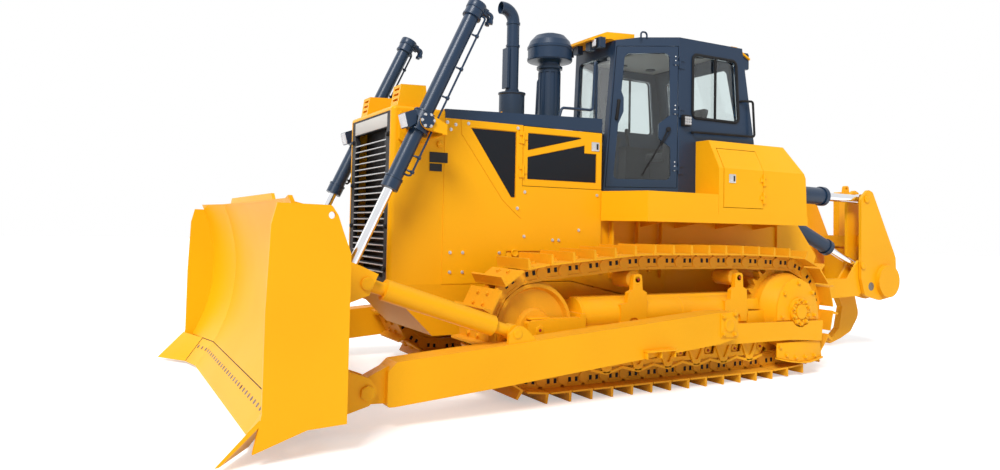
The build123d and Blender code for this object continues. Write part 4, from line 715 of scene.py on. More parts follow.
# %% [markdown]
# ## Plates
# Plate is cut to an outline and has one thickness. The outline is a single face, pulled
# out across the machine, with both rims broken by a small bevel.


# %% Plates
def plate(name, points, y0, y1, bevel=3):
    """Plate with an outline in (x, z), from y0 to y1, its rims broken."""
    mesh = bpy.data.meshes.new(name)
    mesh.from_pydata([at(x, y0, z) for x, z in points], [], [tuple(range(len(points)))])
    piece = bpy.data.objects.new(name, mesh)
    bpy.context.scene.collection.objects.link(piece)
    only(piece)
    bpy.ops.object.mode_set(mode="EDIT")
    bpy.ops.mesh.select_all(action="SELECT")
    bpy.ops.mesh.extrude_region_move(TRANSFORM_OT_translate={"value": (0, (y1 - y0) / 1000, 0)})
    bpy.ops.mesh.select_all(action="SELECT")
    bpy.ops.mesh.normals_make_consistent(inside=False)
    bpy.ops.object.mode_set(mode="OBJECT")
    if bevel:
        pick_faces(piece, lambda face: abs(face.normal.y) > 0.99)
        bpy.ops.mesh.bevel(offset=bevel / 1000, segments=2, affect="EDGES")
        bpy.ops.object.mode_set(mode="OBJECT")
    return piece


print("plates have an outline in x and z")

# %% [markdown]
# ## Lathe work
# Caps and bands about an upright line are spun from a profile. The seam where the spin
# closes is merged, and the normals are made to face out again.


# %% Lathe work
def spun(name, profile, x, y, steps=40):
    """Round form spun about the vertical at (x, y) from a (radius, z) profile."""
    mesh = bpy.data.meshes.new(name)
    mesh.from_pydata([at(x + r, y, z) for r, z in profile],
                     [(i, i + 1) for i in range(len(profile) - 1)], [])
    piece = bpy.data.objects.new(name, mesh)
    bpy.context.scene.collection.objects.link(piece)
    only(piece)
    bpy.ops.object.mode_set(mode="EDIT")
    bpy.ops.mesh.select_all(action="SELECT")
    bpy.ops.mesh.spin(steps=steps, angle=2 * math.pi, center=at(x, y, 0), axis=(0, 0, 1))
    bpy.ops.mesh.select_all(action="SELECT")
    bpy.ops.mesh.remove_doubles(threshold=0.0002)
    bpy.ops.mesh.normals_make_consistent(inside=False)
    bpy.ops.object.mode_set(mode="OBJECT")
    return piece


print("spun forms are closed")

# %% [markdown]
# ## Copies and their places
# What repeats is modelled once at the origin and copied to frames. A frame says where a
# copy stands and which way it looks. The machine is the same on both sides, so most
# makers take 1 for its left and -1 for its right.


# %% Copies and their places
def copies(source, name, places):
    """A small piece repeated at each place, every copy with its own mesh, as one piece."""
    made = []
    for place in places:
        mesh = source.data.copy()
        mesh.transform(place)
        one = bpy.data.objects.new(name, mesh)
        bpy.context.scene.collection.objects.link(one)
        made.append(one)
    return joined(name, made)


def facing(place, normal):
    """Frame at a drawing point whose z axis looks along the normal."""
    return (Matrix.Translation(at(*place))
            @ Vector(normal).to_track_quat("Z", "Y").to_matrix().to_4x4())


def sides(maker):
    """What a maker gives for the machine's left (1) and right (-1), as one list."""
    return [piece for way in (1, -1) for piece in maker(way)]


def fit(name, maker, material, body):
    """Make a part for both sides, join it as one piece and dress it."""
    return dress(joined(name, sides(maker)), material, body)


def side_bolts(y, points):
    """Bolt frames at (x, z) points of a side face at y, left and right."""
    return [facing((x, way * y, z), (0, way, 0)) for way in (1, -1) for x, z in points]


def ring(x, y, z, radius, count, way, start=0.0):
    """Bolt frames on a circle in a side face at y."""
    return [facing((x + radius * math.cos(start + 2 * math.pi * i / count), y,
                    z + radius * math.sin(start + 2 * math.pi * i / count)), (0, way, 0))
            for i in range(count)]


# %% [markdown]
# ## Bolts
# A bolt head is a hexagon on a washer, with a shallow crown. It is modelled once, looking
# up from the origin, and copied to hundreds of places. A texture of bolts would be
# cheaper, but it would throw no shadow at the low angle of this light.

# %% Bolt, cap screw and rivet patterns
def hex_bolt(width, height, washer):
    """Hex head on a washer, looking along +Z from the origin, 32 faces."""
    clear()
    bpy.ops.mesh.primitive_cylinder_add(vertices=12, radius=washer / 1000, depth=0.004,
                                        location=(0, 0, 0.002))
    seat = settle(bpy.context.object)
    clear()
    bpy.ops.mesh.primitive_cylinder_add(vertices=6, radius=width / 1000, depth=height / 1000,
                                        location=(0, 0, 0.004 + height / 2000))
    head = settle(bpy.context.object)
    pick_faces(head, lambda face: face.normal.z > 0.9)
    bpy.ops.mesh.inset(thickness=width / 8000)
    bpy.ops.transform.translate(value=(0, 0, 0.0015))
    bpy.ops.object.mode_set(mode="OBJECT")
    return joined("bolt_pattern", [seat, head])


def discard(piece):
    """Remove a pattern that has been copied."""
    bpy.data.objects.remove(piece, do_unlink=True)


small_bolt = hex_bolt(11, 9, 16)
large_bolt = hex_bolt(19, 15, 26)
print("bolt patterns:", len(small_bolt.data.polygons), "faces each")

# %% [markdown]
# ## The chains
# Each link of a crawler chain is a pair of rails with round eyes at the pins, and its
# shoe is held by four bolts. The frame's track gives the rails and shoes. Here the eyes,
# pin ends, oil slots and bolts are set on every link, by walking one pitch at a time
# round the line that the pins follow. The slots are near-black blocks, painted shade
# where the real link is recessed.

# %% Where the pins lie
TRACK_Y = 1070
PITCH = 228.6
AXLE_Z = 686                          # axis of the sprocket
DRIVE_FACE = 1362                     # outer face of the final drive
ROLLER_X, ROLLER_STEP, ROLLER_Z = 470, 363, 331.9
CARRIER_X, CARRIER_Z = (2083, 757), 1047
sprocket_low, sprocket_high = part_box("sprockets")
idler_low, idler_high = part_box("idlers")
sprocket_z = 500 * (sprocket_low[2] + sprocket_high[2])
idler_x = 500 * (idler_low[0] + idler_high[0]) + AXIS_SHIFT
idler_z = 500 * (idler_low[2] + idler_high[2])
WHEELS = [(0, sprocket_z, 495.6), (360, 335.9, 167.9), (idler_x, idler_z, 471.5),
          *((x, CARRIER_Z, 162) for x in CARRIER_X)]


def chain_runs():
    """Arcs and straights of the pin line: (length, function of the distance along it)."""
    leave = []
    for (xa, za, ra), (xb, zb, rb) in zip(WHEELS, WHEELS[1:] + WHEELS[:1]):
        reach = math.hypot(xb - xa, zb - za)
        leave.append(math.atan2(zb - za, xb - xa) - math.acos((ra - rb) / reach))
    runs = []
    for i, (x, z, r) in enumerate(WHEELS):
        arrive = leave[i - 1]
        sweep = (leave[i] - arrive) % (2 * math.pi)
        runs.append((r * sweep, lambda s, x=x, z=z, r=r, a=arrive: Vector(
            (x + r * math.cos(a + s / r), z + r * math.sin(a + s / r)))))
        xb, zb, rb = WHEELS[(i + 1) % len(WHEELS)]
        start = Vector((x + r * math.cos(leave[i]), z + r * math.sin(leave[i])))
        end = Vector((xb + rb * math.cos(leave[i]), zb + rb * math.sin(leave[i])))
        runs.append(((end - start).length, lambda s, a=start, b=end: a + (b - a).normalized() * s))
    return runs


print("the pin line is", round(sum(length for length, point in chain_runs())), "mm long")

# %% [markdown]
# ## Walking round the chain
# A chain's pins are one pitch apart in a straight line, not along the curve. So each
# step along the curve is corrected a few times until the chord is one pitch.


# %% Walk round the chain
def chain_pins(first=60):
    """Pins one pitch apart round the chain, as (x, z) points in drawing numbers."""
    runs = chain_runs()
    total = sum(length for length, point in runs)

    def spot(s):
        s = s % total
        for length, point in runs:
            if s <= length:
                return point(s)
            s -= length
        return runs[0][1](0)

    pins, s = [], first
    for _ in range(round(total / PITCH)):
        pins.append(spot(s))
        step = PITCH
        for _ in range(4):
            step += PITCH - (spot(s + step) - pins[-1]).length
        s += step
    return pins


pins = chain_pins()
print(len(pins), "pins, the chain closes within", round((pins[0] - pins[-1]).length - PITCH, 1), "mm")

# %% [markdown]
# ## What sits on every link
# The outside of a link shows a round eye with a pin in it, two raised lips and two
# pockets for the nuts, drawn as near-black blocks of painted shade. The pattern is built
# at the origin, with x along the chain, and a frame on each pitch carries it round;
# turning it half a turn gives the inner side.

# %% Link eyes, slots and shoe bolts
def link_frame(i, y, lift):
    """Frame in the middle of link i at y: x along the chain, z out through the shoe."""
    first, second = pins[i], pins[(i + 1) % len(pins)]
    along = Vector((second.x - first.x, 0, second.y - first.y)).normalized()
    out = Vector((along.z, 0, -along.x))
    middle = at((first.x + second.x) / 2, y, (first.y + second.y) / 2) + out * lift / 1000
    turn = Matrix((along, out.cross(along), out)).transposed().to_4x4()
    return Matrix.Translation(middle) @ turn


def chain_block(name, low, high, bevel):
    """Small block of a link pattern, in millimetres round the link's middle."""
    return block(name, (AXIS_SHIFT + low[0], *low[1:]), (AXIS_SHIFT + high[0], *high[1:]), bevel, 1)


def link_side():
    """Outside of one link: the eye round its rear pin, and its two raised lips."""
    clear()
    bpy.ops.mesh.primitive_cylinder_add(vertices=18, radius=0.052, depth=0.010,
                                        location=(-0.1143, 0, 0), rotation=(math.pi / 2, 0, 0))
    eye = settle(bpy.context.object)
    pick_faces(eye, lambda face: face.normal.y > 0.9)
    bpy.ops.mesh.inset(thickness=0.024)
    bpy.ops.transform.translate(value=(0, -0.004, 0))
    bpy.ops.mesh.inset(thickness=0.004)
    bpy.ops.transform.translate(value=(0, 0.005, 0))
    bpy.ops.object.mode_set(mode="OBJECT")
    parts = [eye]
    for z in (-59, 37):
        parts.append(chain_block("link_web", (-59, -3, z), (59, 5, z + 14), 2))
    return joined("link_side_pattern", parts)

# %% [markdown]
# ## Setting them on every link
# Each link has a side that faces out and one that faces in. Eyes, pockets and bolts are
# gathered as frames first and copied at the end, so that each kind is one piece.


# %% Set them on every link
eye_pattern = link_side()
# Each slot is a thin block standing proud of the rail, dark as painted shade of a recess.
pocket_shade_pattern = chain_block("link_slot", (-15, -3, -9), (15, 3, 33), 2.5)
eyes, slots, bolts = [], [], []
for side in (1, -1):
    for i in range(len(pins)):
        for y in (120, -120):
            flip = Matrix.Rotation(0 if y > 0 else math.pi, 4, "Z")
            eyes.append(link_frame(i, side * TRACK_Y + y, 0) @ flip)
            for x in (-36, 36):
                slots.append(link_frame(i, side * TRACK_Y + math.copysign(117, y), 0)
                             @ Matrix.Translation((x / 1000, 0, 0)))
            for x in (-36, 62):
                bolts.append(link_frame(i, side * TRACK_Y + y * 0.74, 88)
                             @ Matrix.Translation((x / 1000, 0, 0)))
# Near-black finish of the oil slots: painted shade where the real link is recessed.
pocket_shade = plain("link_pocket_painted_shade", (0.008, 0.008, 0.009, 1), 0.7, 0.0, 0.2, 500)
dress(copies(eye_pattern, "chain_link_eyes", eyes), track_yellow_worn_shaded, "machine")
dress(copies(pocket_shade_pattern, "chain_link_slot_shades", slots), pocket_shade, "machine")
dress(copies(large_bolt, "shoe_bolts", bolts), track_yellow_worn_shaded, "machine")
discard(eye_pattern)
discard(pocket_shade_pattern)
print(len(eyes), "link sides,", len(bolts), "shoe bolts")

# %% [markdown]
# ## Track frames
# Beside the chain sit the parts that carry the machine: the round housing of the recoil
# spring, the idler's bearing blocks, the rollers with their red plugs, a guard with
# V-shaped struts outside the rollers and the D-shaped cover of the final drive.


# %% Recoil housing, covers and the drive's D plate
def recoil_bands(way):
    y = way * TRACK_Y
    made = [bar("recoil_housing", (640, y, 712), (2700, y, 712), 168, 40, 8)]
    for x, r in ((2700, 172), (1500, 172), (640, 174)):
        made.append(bar("recoil_band", (x - 22, y, 712), (x + 6, y, 712), r, 40, 4))
    return made


def frame_covers(way):
    return [plate("cover_low", [(345, 572), (608, 572), (608, 700), (345, 700)],
                  way * 1220, way * 1232),
            plate("cover_rear", [(412, 706), (620, 716), (620, 822), (450, 826)],
                  way * 1190, way * 1214),
            plate("drum_cover", [(-323, 595), (-306, 702), (-258, 860), (-160, 975), (-20, 1038),
                                 (90, 1035), (190, 985), (275, 890), (318, 760), (322, 600)],
                  way * (DRIVE_FACE - 13), way * DRIVE_FACE, 4)]


covers = fit("recoil_housings", recoil_bands, yellow_frame, "machine")
fit("frame_covers", frame_covers, yellow_frame, "machine")
print("recoil housings reach up to z", round(max(v.co.z for v in covers.data.vertices), 3))

# %% [markdown]
# ## Hub of the final drive
# The drive's bearing cap is a ring with a low dome and short ribs between its bolts. It
# could be one lathe profile, but the ribs need their own bars, so it is three simple
# forms that overlap, as in the casting.

# %% Hub of the final drive
def hub(way):
    """Bearing cap: a ring, a domed middle and eight short ribs between bolts."""
    made = [cap("hub_ring", way, 0, AXLE_Z, DRIVE_FACE, DRIVE_FACE + 34, 142, 48, 5, 12, 4),
            cap("hub_dome", way, 0, AXLE_Z, DRIVE_FACE + 26, DRIVE_FACE + 50, 78, 32, 6, 22, 3)]
    for i in range(10):
        turn = 2 * math.pi * i / 10
        out = Vector((math.cos(turn), 0, math.sin(turn)))
        base = Vector((0, way * (DRIVE_FACE + 34), AXLE_Z))
        made.append(bar("hub_rib", base + out * 84, base + out * 118, 13, 8, 2))
    return made


fit("final_drive_hubs", hub, yellow_frame, "machine")
hub_bolts = side_bolts(DRIVE_FACE, ((-250, 640), (250, 640), (-215, 880), (215, 880), (0, 990),
                                    (160, 560), (-160, 560)))
for way in (1, -1):
    hub_bolts += ring(0, way * (DRIVE_FACE + 34), AXLE_Z, 126, 10, way, math.pi / 10)
dress(copies(large_bolt, "hub_bolts", hub_bolts), yellow_frame, "machine")
print(len(hub_bolts), "bolts round the hubs")

# %% [markdown]
# ## Idler bearings, plugs and caps
# The idler's axle is held in a block with two ribs. Every roller's shaft ends in a turned
# cap with a small red oil plug in the middle. The rollers stand on one spacing, so a
# short list of centres serves both.

# %% Idler bearings and pin plugs
def idler_bearing(way):
    x, z = idler_x, idler_z
    made = [plate("bearing_cap", [(x - 135, z - 88), (x + 105, z - 88), (x + 105, z + 45),
                                  (x + 70, z + 72), (x - 80, z + 72), (x - 135, z + 45)],
                  way * 1232, way * 1262, 6),
            cap("bearing_boss", way, x, z - 15, 1262, 1276, 46, 6, 3, 14, 3)]
    for dx in (-105, 78):
        made.append(block("bearing_rib", (x + dx - 14, way * 1232, z - 95),
                          (x + dx + 14, way * 1270, z + 60), 5))
    made.append(block("bearing_top", (x - 120, way * 1180, z + 74), (x + 95, way * 1250, z + 92), 5))
    return made


fit("idler_bearings", idler_bearing, yellow_frame, "machine")
plug_red = painted("plug_red", (0.42, 0.035, 0.02, 1), (0.25, 0.02, 0.012, 1), dust=0.1, gloss=0.4)
ROLLER_ENDS = [(ROLLER_X + ROLLER_STEP * i, ROLLER_Z) for i in range(7)]
CARRIER_ENDS = [(x, CARRIER_Z) for x in CARRIER_X]


def oil_plugs(way):
    rows = [(x, z, 1254, 13) for x, z in CARRIER_ENDS] + [(x, z, 1266, 12) for x, z in ROLLER_ENDS]
    return [cap("oil_plug", way, x, z, y, y + 12, r, 6, 2)
            for x, z, y, r in [(idler_x, idler_z - 15, 1270, 14)] + rows]


def shaft_caps(way):
    rows = [(x, z, 1248, 52) for x, z in CARRIER_ENDS] + [(x, z, 1262, 40) for x, z in ROLLER_ENDS]
    return [cap("shaft_cap", way, x, z, y - 12, y + 2, r, 20, 3, 10, 3) for x, z, y, r in rows]


fit("oil_plugs", oil_plugs, plug_red, "machine")
fit("shaft_caps", shaft_caps, yellow_frame, "machine")
print(len(ROLLER_ENDS) + len(CARRIER_ENDS), "shaft caps on each side")

# %% [markdown]
# ## Guards
# Plate guards keep stones from between the rollers and the chain. The roller guard is cut
# with V-shaped struts that stand between the rollers, over a strip whose lower rim waves.
# Both are flat plates, so outlines in x and z are enough.

# %% Roller guard with V struts and the sprocket's lower guard
def roller_guard(way):
    inner, outer = way * 1288, way * 1300
    made, wave = [], []
    for i in range(6):
        x = ROLLER_X + ROLLER_STEP * (i + 0.5)
        made.append(plate("guard_strut", [(x - 36, 205), (x + 36, 205), (x + 128, 420), (x + 96, 420),
                                          (x + 14, 262), (x - 14, 262), (x - 96, 420), (x - 128, 420)],
                          inner, outer, 2))
        wave += [(x - 181, 236), (x - 90, 212), (x, 190), (x + 90, 212)]
    wave.append((ROLLER_X + ROLLER_STEP * 6, 236))
    made.append(plate("guard_wave", wave + [(x, z + 26) for x, z in reversed(wave)], inner, outer, 2))
    return made


def lower_guard(way):
    """Plate under the beam beside the sprocket, with the curved strip below it."""
    return [plate("sprocket_guard", [(-349, 200), (-159, 160), (0, 162), (194, 190), (336, 222),
                                     (338, 372), (-322, 372)], way * 1362, way * 1378, 3),
            plate("guard_lip", [(-349, 182), (-159, 142), (0, 144), (194, 172), (336, 204), (336, 218),
                                (194, 188), (0, 160), (-159, 158), (-349, 198)], way * 1352,
                  way * 1398, 2)]


fit("roller_guard_struts", roller_guard, yellow_frame, "machine")
fit("sprocket_guards", lower_guard, yellow_frame, "machine")
guard_bolts = side_bolts(1378, ((-230, 215), (-90, 205), (60, 210), (200, 240), (300, 330)))
dress(copies(large_bolt, "guard_bolts", guard_bolts), yellow_frame, "machine")
print("guards fitted on both sides")

# %% [markdown]
# ## Push arms
# The arm is a long welded box. Its rear cap grips a ball on the track frame and is held
# by a bolted retainer; a chequered step lets the driver climb on.


# %% Arm caps, step and pin retainers
def arm_parts(way):
    made = [plate("arm_rear_cap", [(1397, 520), (1397, 742), (1240, 756), (1200, 772), (1168, 735),
                                   (1192, 700), (1192, 580), (1162, 545), (1180, 512)],
                  way * 1626, way * 1642, 4),
            cap("trunnion_cover", way, 1290, 632, 1640, 1650, 66, 36, 4, 10, 3),
            block("arm_step", (1978, way * 1631, 440), (2320, way * 1694, 452), 2),
            cap("brace_pin_cap", way, 3600, 662, 1606, 1622, 42, 28, 3, 12, 3)]
    for x in (1990, 2149, 2308):
        made.append(block("step_bracket", (x - 6, way * 1631, 380), (x + 6, way * 1680, 442), 2))
    for i in range(14):
        x = 1990 + i * 24
        made.append(block("step_tread", (x, way * 1635, 451), (x + 8, way * 1690, 458), 1, 1))
    return made


fit("arm_fittings", arm_parts, yellow_frame, "push_arms")
arm_bolts = side_bolts(1642, ((1370, 715), (1370, 555), (1225, 735), (1225, 545)))
dress(copies(large_bolt, "arm_bolts", arm_bolts), yellow_frame, "push_arms")


def blade_pins(way):
    return [cap("blade_pin_cap", way, 4855, 300, 1633, 1649, 58, 6, 4, 16, 4),
            cap("brace_ball_cap", way, 4880, 1085, 1633, 1647, 48, 24, 4, 14, 4)]


fit("blade_pin_caps", blade_pins, yellow_frame, "blade")
print("arm and blade pins capped")

# %% [markdown]
# ## The nose
# The radiator guard has a slatted front between two dark side strips with a chamfered
# top, under a pale blank header. The slats' front edges catch the light. Two louvred
# housings over the hose fittings stand on the nose, with pipe elbows behind them.

# %% Slats, strips, header
NOSE = 4335
grille_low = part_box("grille")[0]
slat_edges = []
z = grille_low[2] * 1000 + 94
while z < 2350:
    slat_edges.append(block("slat_edge", (NOSE - 12, -438, z - 12), (NOSE - 3, 438, z - 2), 2, 1))
    z += 60
dress(joined("slat_edges", slat_edges), zinc, "machine")
pale = painted("pale_liner", (0.62, 0.60, 0.56, 1), (0.50, 0.48, 0.45, 1), dust=0.1, gloss=0.5)
header = block("header_plate", (NOSE - 8, -455, 2402), (NOSE - 2, 455, 2522), 2)
dress(header, pale, "machine")
strip_bolts = [facing((NOSE - 3, y, z), (1, 0, 0)) for y in (-490, 490)
               for z in (1120, 1500, 1900, 2330)]
dress(copies(large_bolt, "strip_bolts", strip_bolts), black_plastic, "machine")
print(len(slat_edges), "slat edges")

# %% [markdown]
# ## Pipe elbows on the nose
# Two hydraulic lines a side leave the hood by an elbow with a nut at each end. They are
# rigid steel, so a bent pipe with one rounded corner is true to them.

# %% Elbows and knobs behind the louvred housings
def elbows(way):
    made = []
    for y in (400, 470):
        made.append(pipe("hose_elbow", [(3910, way * y, 2578), (3910, way * y, 2700),
                                        (3990, way * y, 2700)], 24, 40))
        made.append(bar("elbow_nut", (3910, way * y, 2592), (3910, way * y, 2618), 34, 6, 3))
        made.append(bar("elbow_nut", (3950, way * y, 2700), (3974, way * y, 2700), 33, 6, 3))
    made.append(block("elbow_rail", (3870, way * 350, 2579), (3950, way * 520, 2592), 4))
    return made


fit("nose_elbows", elbows, yellow, "machine")
brim = [plate("louvre_brim", [(3950, 2581), (4268, 2581), (4268, 2592), (3950, 2592)],
              way * 322, way * 530, 2) for way in (1, -1)]
dress(joined("louvre_brims", brim), yellow, "machine")
print("elbows and brims on the nose")

# %% [markdown]
# ## Lift cylinders
# Each lift cylinder hangs in a yoke beside the nose. Its top carries a head block with
# the oil ports, a steel pipe runs down the barrel to the gland, and clamps hold it.

# %% Cylinder line
LIFT_Y = 825
PIVOT = Vector((4159, 0, 2411))
LIFT_ROD_EYE = Vector((4881, 0, 872))
DOWN = (LIFT_ROD_EYE - PIVOT).normalized()
BACK = Vector((DOWN.z, 0, -DOWN.x))


def on_lift(way, along, back=0.0, out=0.0):
    """Point near a lift cylinder: along its line from the pivot, back from it, outwards."""
    return PIVOT + DOWN * along + BACK * back + Vector((0, way * (LIFT_Y + out), 0))


def beside(way, along, share=1.0):
    """Point on the steel pipe's line, behind and outside the barrel."""
    return on_lift(way, along, 108 * share, 55 * share)


print("a lift cylinder leans", round(math.degrees(math.atan2(DOWN.x, -DOWN.z)), 1), "degrees")

# %% [markdown]
# ## What the barrel carries
# A head cap, a band, a hollow rim at each end of the collar and one at the gland, and the
# steel pipe that feeds the rod's end. The pipe runs behind and outside the barrel, clear
# of the bracket that the cylinder swings in, on five clamps with a post each.


# %% Fittings of the barrel
def lift_hardware(way):
    made = [bar("head_cap", on_lift(way, -1250), on_lift(way, -1176), 88, 32, 6, 20, 4),
            bar("head_band", on_lift(way, -1120), on_lift(way, -1098), 88, 32, 3),
            hoop("gland_band", on_lift(way, 540), on_lift(way, 556), 82, 16)]
    for along in (-92, 82):
        made.append(hoop("collar_rim", on_lift(way, along), on_lift(way, along + 12), 104, 38))
    pipe_line = [beside(way, -1150, 0.55), beside(way, -1150), beside(way, 480),
                 beside(way, 480, 0.55)]
    made.append(pipe("barrel_pipe", pipe_line, 10, 26, 4, 2))
    for along in (-950, -600, -300, 300, 440):
        made.append(bar("pipe_clamp", beside(way, along - 12), beside(way, along + 12), 19, 8, 3))
        made.append(bar("clamp_post", beside(way, along, 0.58), beside(way, along), 9, 8, 1))
    return made


def head_fittings(way):
    """Port block on the head, two elbows and their nuts."""
    made = [bar("port_block", on_lift(way, -1215, -70), on_lift(way, -1215, 118), 44, 8, 5)]
    for out in (-34, 34):
        made.append(pipe("port_elbow", [on_lift(way, -1215, 100, out), on_lift(way, -1215, 165, out),
                                        on_lift(way, -1150, 175, out)], 17, 24, 4, 2))
        made.append(bar("port_nut", on_lift(way, -1165, 173, out),
                        on_lift(way, -1135, 178, out), 24, 6, 2))
    return made


fit("lift_cylinder_fittings", lift_hardware, navy, "lift_barrels")
fit("lift_head_ports", head_fittings, navy, "lift_barrels")


print("the barrels have their pipes and ports")

# %% [markdown]
# ## Pins of the lift cylinder
# The rod's eye turns on a pin in the blade, with a dished cap on each end, and the yoke's
# trunnion has a round cover held by a ring of screws.


# %% Pin caps and yoke covers
def rod_eyes(way):
    x, z = LIFT_ROD_EYE.x, LIFT_ROD_EYE.z
    return [cap("rod_eye_cap", way, x, z, LIFT_Y + reach, LIFT_Y + reach + math.copysign(14, reach),
                52, 28, 4, 16, 4) for reach in (114, -114)]


fit("lift_pin_caps", rod_eyes, yellow_frame, "blade")


def yoke(way):
    """Trunnion cover of the yoke with its ring of screws."""
    return [cap("yoke_cover", way, PIVOT.x, PIVOT.z, 972, 990, 66, 32, 5, 18, 5)]


fit("yoke_covers", yoke, navy, "machine")
yoke_bolts = [m for way in (1, -1) for m in ring(PIVOT.x, way * 988, PIVOT.z, 52, 6, way)]
dress(copies(small_bolt, "yoke_bolts", yoke_bolts), zinc, "machine")
print("lift cylinders fitted")

# %% [markdown]
# ## Lamps
# A lamp is a black box with a bezel and a white, slightly domed lens. The lens is given
# a pale gloss and fine ribs rather than glass: its pale colour is a painted reflection of
# the reflector that fills it with light.


# %% Lenses
def lens_finish():
    """Pale lens whose colour is a painted reflection of a bright reflector, in a grid of ribs."""
    made, tree, shader = blank("lamp_lens")
    place = tree.nodes.new("ShaderNodeTexCoord").outputs["Object"]
    ribs = node(tree, "ShaderNodeTexWave", [("Vector", place), ("Scale", 40.0)],
                bands_direction="Y").outputs["Fac"]
    rows = node(tree, "ShaderNodeTexWave", [("Vector", place), ("Scale", 40.0)],
                bands_direction="Z").outputs["Fac"]
    grid = maths(tree, "MULTIPLY", ribs, rows)
    # Pale colour and light and dark rib cells: painted reflection of the lamp's reflector.
    tree.links.new(mixed(tree, grid, (0.62, 0.64, 0.68, 1), (0.93, 0.94, 0.96, 1)),
                   shader.inputs["Base Color"])
    shader.inputs["Roughness"].default_value = 0.12
    shader.inputs["Coat Weight"].default_value = 0.6
    bump = node(tree, "ShaderNodeBump", [("Height", grid), ("Strength", 0.4), ("Distance", 0.002)])
    tree.links.new(bump.outputs[0], shader.inputs["Normal"])
    return made


lens = lens_finish()
print("lens finish:", lens.name)

# %% [markdown]
# ## Lamp faces
# A bezel is a black frame with the lens standing a little proud of it. Both are blocks
# with broad bevels, which is how a moulded lens looks from a step away.


# %% Lamp faces
def lamp_face(name, x, y, z, width, height, lean=0.0):
    """Bezel and lens of a lamp that looks forward, or backward when width is negative."""
    way = 1 if width > 0 else -1
    half, tall = abs(width) / 2, height / 2
    bezel = block(name + "_bezel", (x, y - half, z - tall), (x + way * 16, y + half, z + tall), 5)
    pane = block(name + "_lens", (x + way * 10, y - half + 12, z - tall + 12),
                 (x + way * 22, y + half - 12, z + tall - 12), 8, 3)
    return bezel, pane


bezels, panes = [], []
for x, y, z, width, height in ((1900, 255, 3535, 90, 100), (1900, -255, 3535, 90, 100),
                               (38, 620, 3485, -110, 170), (38, -620, 3485, -110, 170)):
    one, two = lamp_face("cab_lamp", x, y, z, width, height)
    bezels.append(one)
    panes.append(two)
dress(joined("lamp_bezels", bezels), black_plastic, "machine")
dress(joined("lamp_lenses", panes), lens, "machine")


def head_lens(way):
    return [plate("head_lens", [(4322, 2352), (4352, 2462), (4340, 2466), (4310, 2356)],
                  way * 775, way * 915, 4)]


fit("head_lamp_lenses", head_lens, lens, "lift_barrels")
print(len(panes), "lenses on the cab and two on the cylinders")

# %% [markdown]
# ## Hood and side panels
# The engine's side has a bolted panel with a mesh window, a door with two mesh windows
# parted by a slanting bar, zinc bolts and a square paddle latch. Perforated sheet is
# drawn by its material: round holes on a staggered pitch, deep, their darkness painted
# shade of the space behind the sheet.


# %% Perforated sheet
def perforated():
    """Black sheet with round holes on a regular pitch, the holes painted darker as shade behind."""
    made, tree, shader = blank("mesh_sheet")
    place = tree.nodes.new("ShaderNodeTexCoord").outputs["Object"]
    spots = node(tree, "ShaderNodeTexVoronoi", [("Vector", place), ("Scale", 95.0),
                                                ("Randomness", 0.0)])
    hole_shade_mask = band(tree, spots.outputs["Distance"], 0.30, 0.36, 0.0, 1.0)
    # Holes near-black against the black sheet: painted shade of the space behind it.
    tree.links.new(mixed(tree, hole_shade_mask, (0.002, 0.002, 0.003, 1), (0.012, 0.014, 0.018, 1)),
                   shader.inputs["Base Color"])
    tree.links.new(band(tree, hole_shade_mask, 0, 1, 0.9, 0.55), shader.inputs["Roughness"])
    shader.inputs["Specular IOR Level"].default_value = 0.12
    bump = node(tree, "ShaderNodeBump", [("Height", hole_shade_mask), ("Strength", 0.8), ("Distance", 0.003)])
    tree.links.new(bump.outputs[0], shader.inputs["Normal"])
    return made


mesh_sheet = perforated()
HOOD = 600


def panel_mesh(way):
    return [plate("panel_mesh", [(3546, 2434), (3068, 2434), (3068, 1806), (3105, 1806)],
                  way * (HOOD - 13), way * (HOOD - 6), 1)]


def door_mesh(way):
    x = 2984
    return [plate("door_mesh_upper", [(x - 54, 2436), (x - 54, 2272), (2300, 2428), (2334, 2436)],
                  way * (HOOD - 13), way * (HOOD - 6), 1),
            plate("door_mesh_lower", [(x - 54, 2200), (x - 54, 1990), (2115, 1990), (2115, 2280),
                                      (2256, 2280), (2256, 2360)],
                  way * (HOOD - 13), way * (HOOD - 6), 1)]


fit("panel_meshes", panel_mesh, mesh_sheet, "machine")
for label, way in (("left", 1), ("right", -1)):
    dress(joined("door_mesh_" + label, door_mesh(way)), mesh_sheet, "engine_door_" + label)


print("perforated sheet in the panels and the doors")

# %% [markdown]
# ## Paddle latches
# A square zinc pan holds a paddle that is pulled to open the door, with a key barrel in
# it and a slit beside it, drawn as a black block of painted shade. Four small forms are
# enough at this size.


# %% Latches
def latch(name, x, y, z, way, body):
    """Square paddle latch: a zinc pan with a raised paddle and its key barrel."""
    pan = block(name + "_pan", (x - 48, y, z - 46), (x + 48, y + way * 6, z + 46), 5)
    paddle = block(name + "_paddle", (x - 8, y + way * 5, z - 32), (x + 38, y + way * 11, z + 32), 4)
    key = bar(name + "_key", (x + 14, y + way * 8, z), (x + 14, y + way * 14, z), 11, 16, 2, 4, 2)
    dress(joined(name, [pan, paddle, key]), zinc, body)
    # The slit is a black block: painted shade of the gap beside the paddle.
    slit = block(name + "_slit_shade", (x - 36, y + way * 4, z - 30), (x - 12, y + way * 7.5, z + 30), 2)
    dress(slit, black_plastic, body)


for label, way in (("left", 1), ("right", -1)):
    latch("engine_latch_" + label, 2128, way * HOOD, 2358, way, "engine_door_" + label)
    latch("box_latch_" + label, 711, way * 1100, 2079, way, "box_door_" + label)

# %% [markdown]
# ## Bolts, tags and knobs of the panels
# Zinc screws hold the panels where the sheet is stiffened. Two small plates are left
# blank, and a round knob and a cap close the openings near the nose.


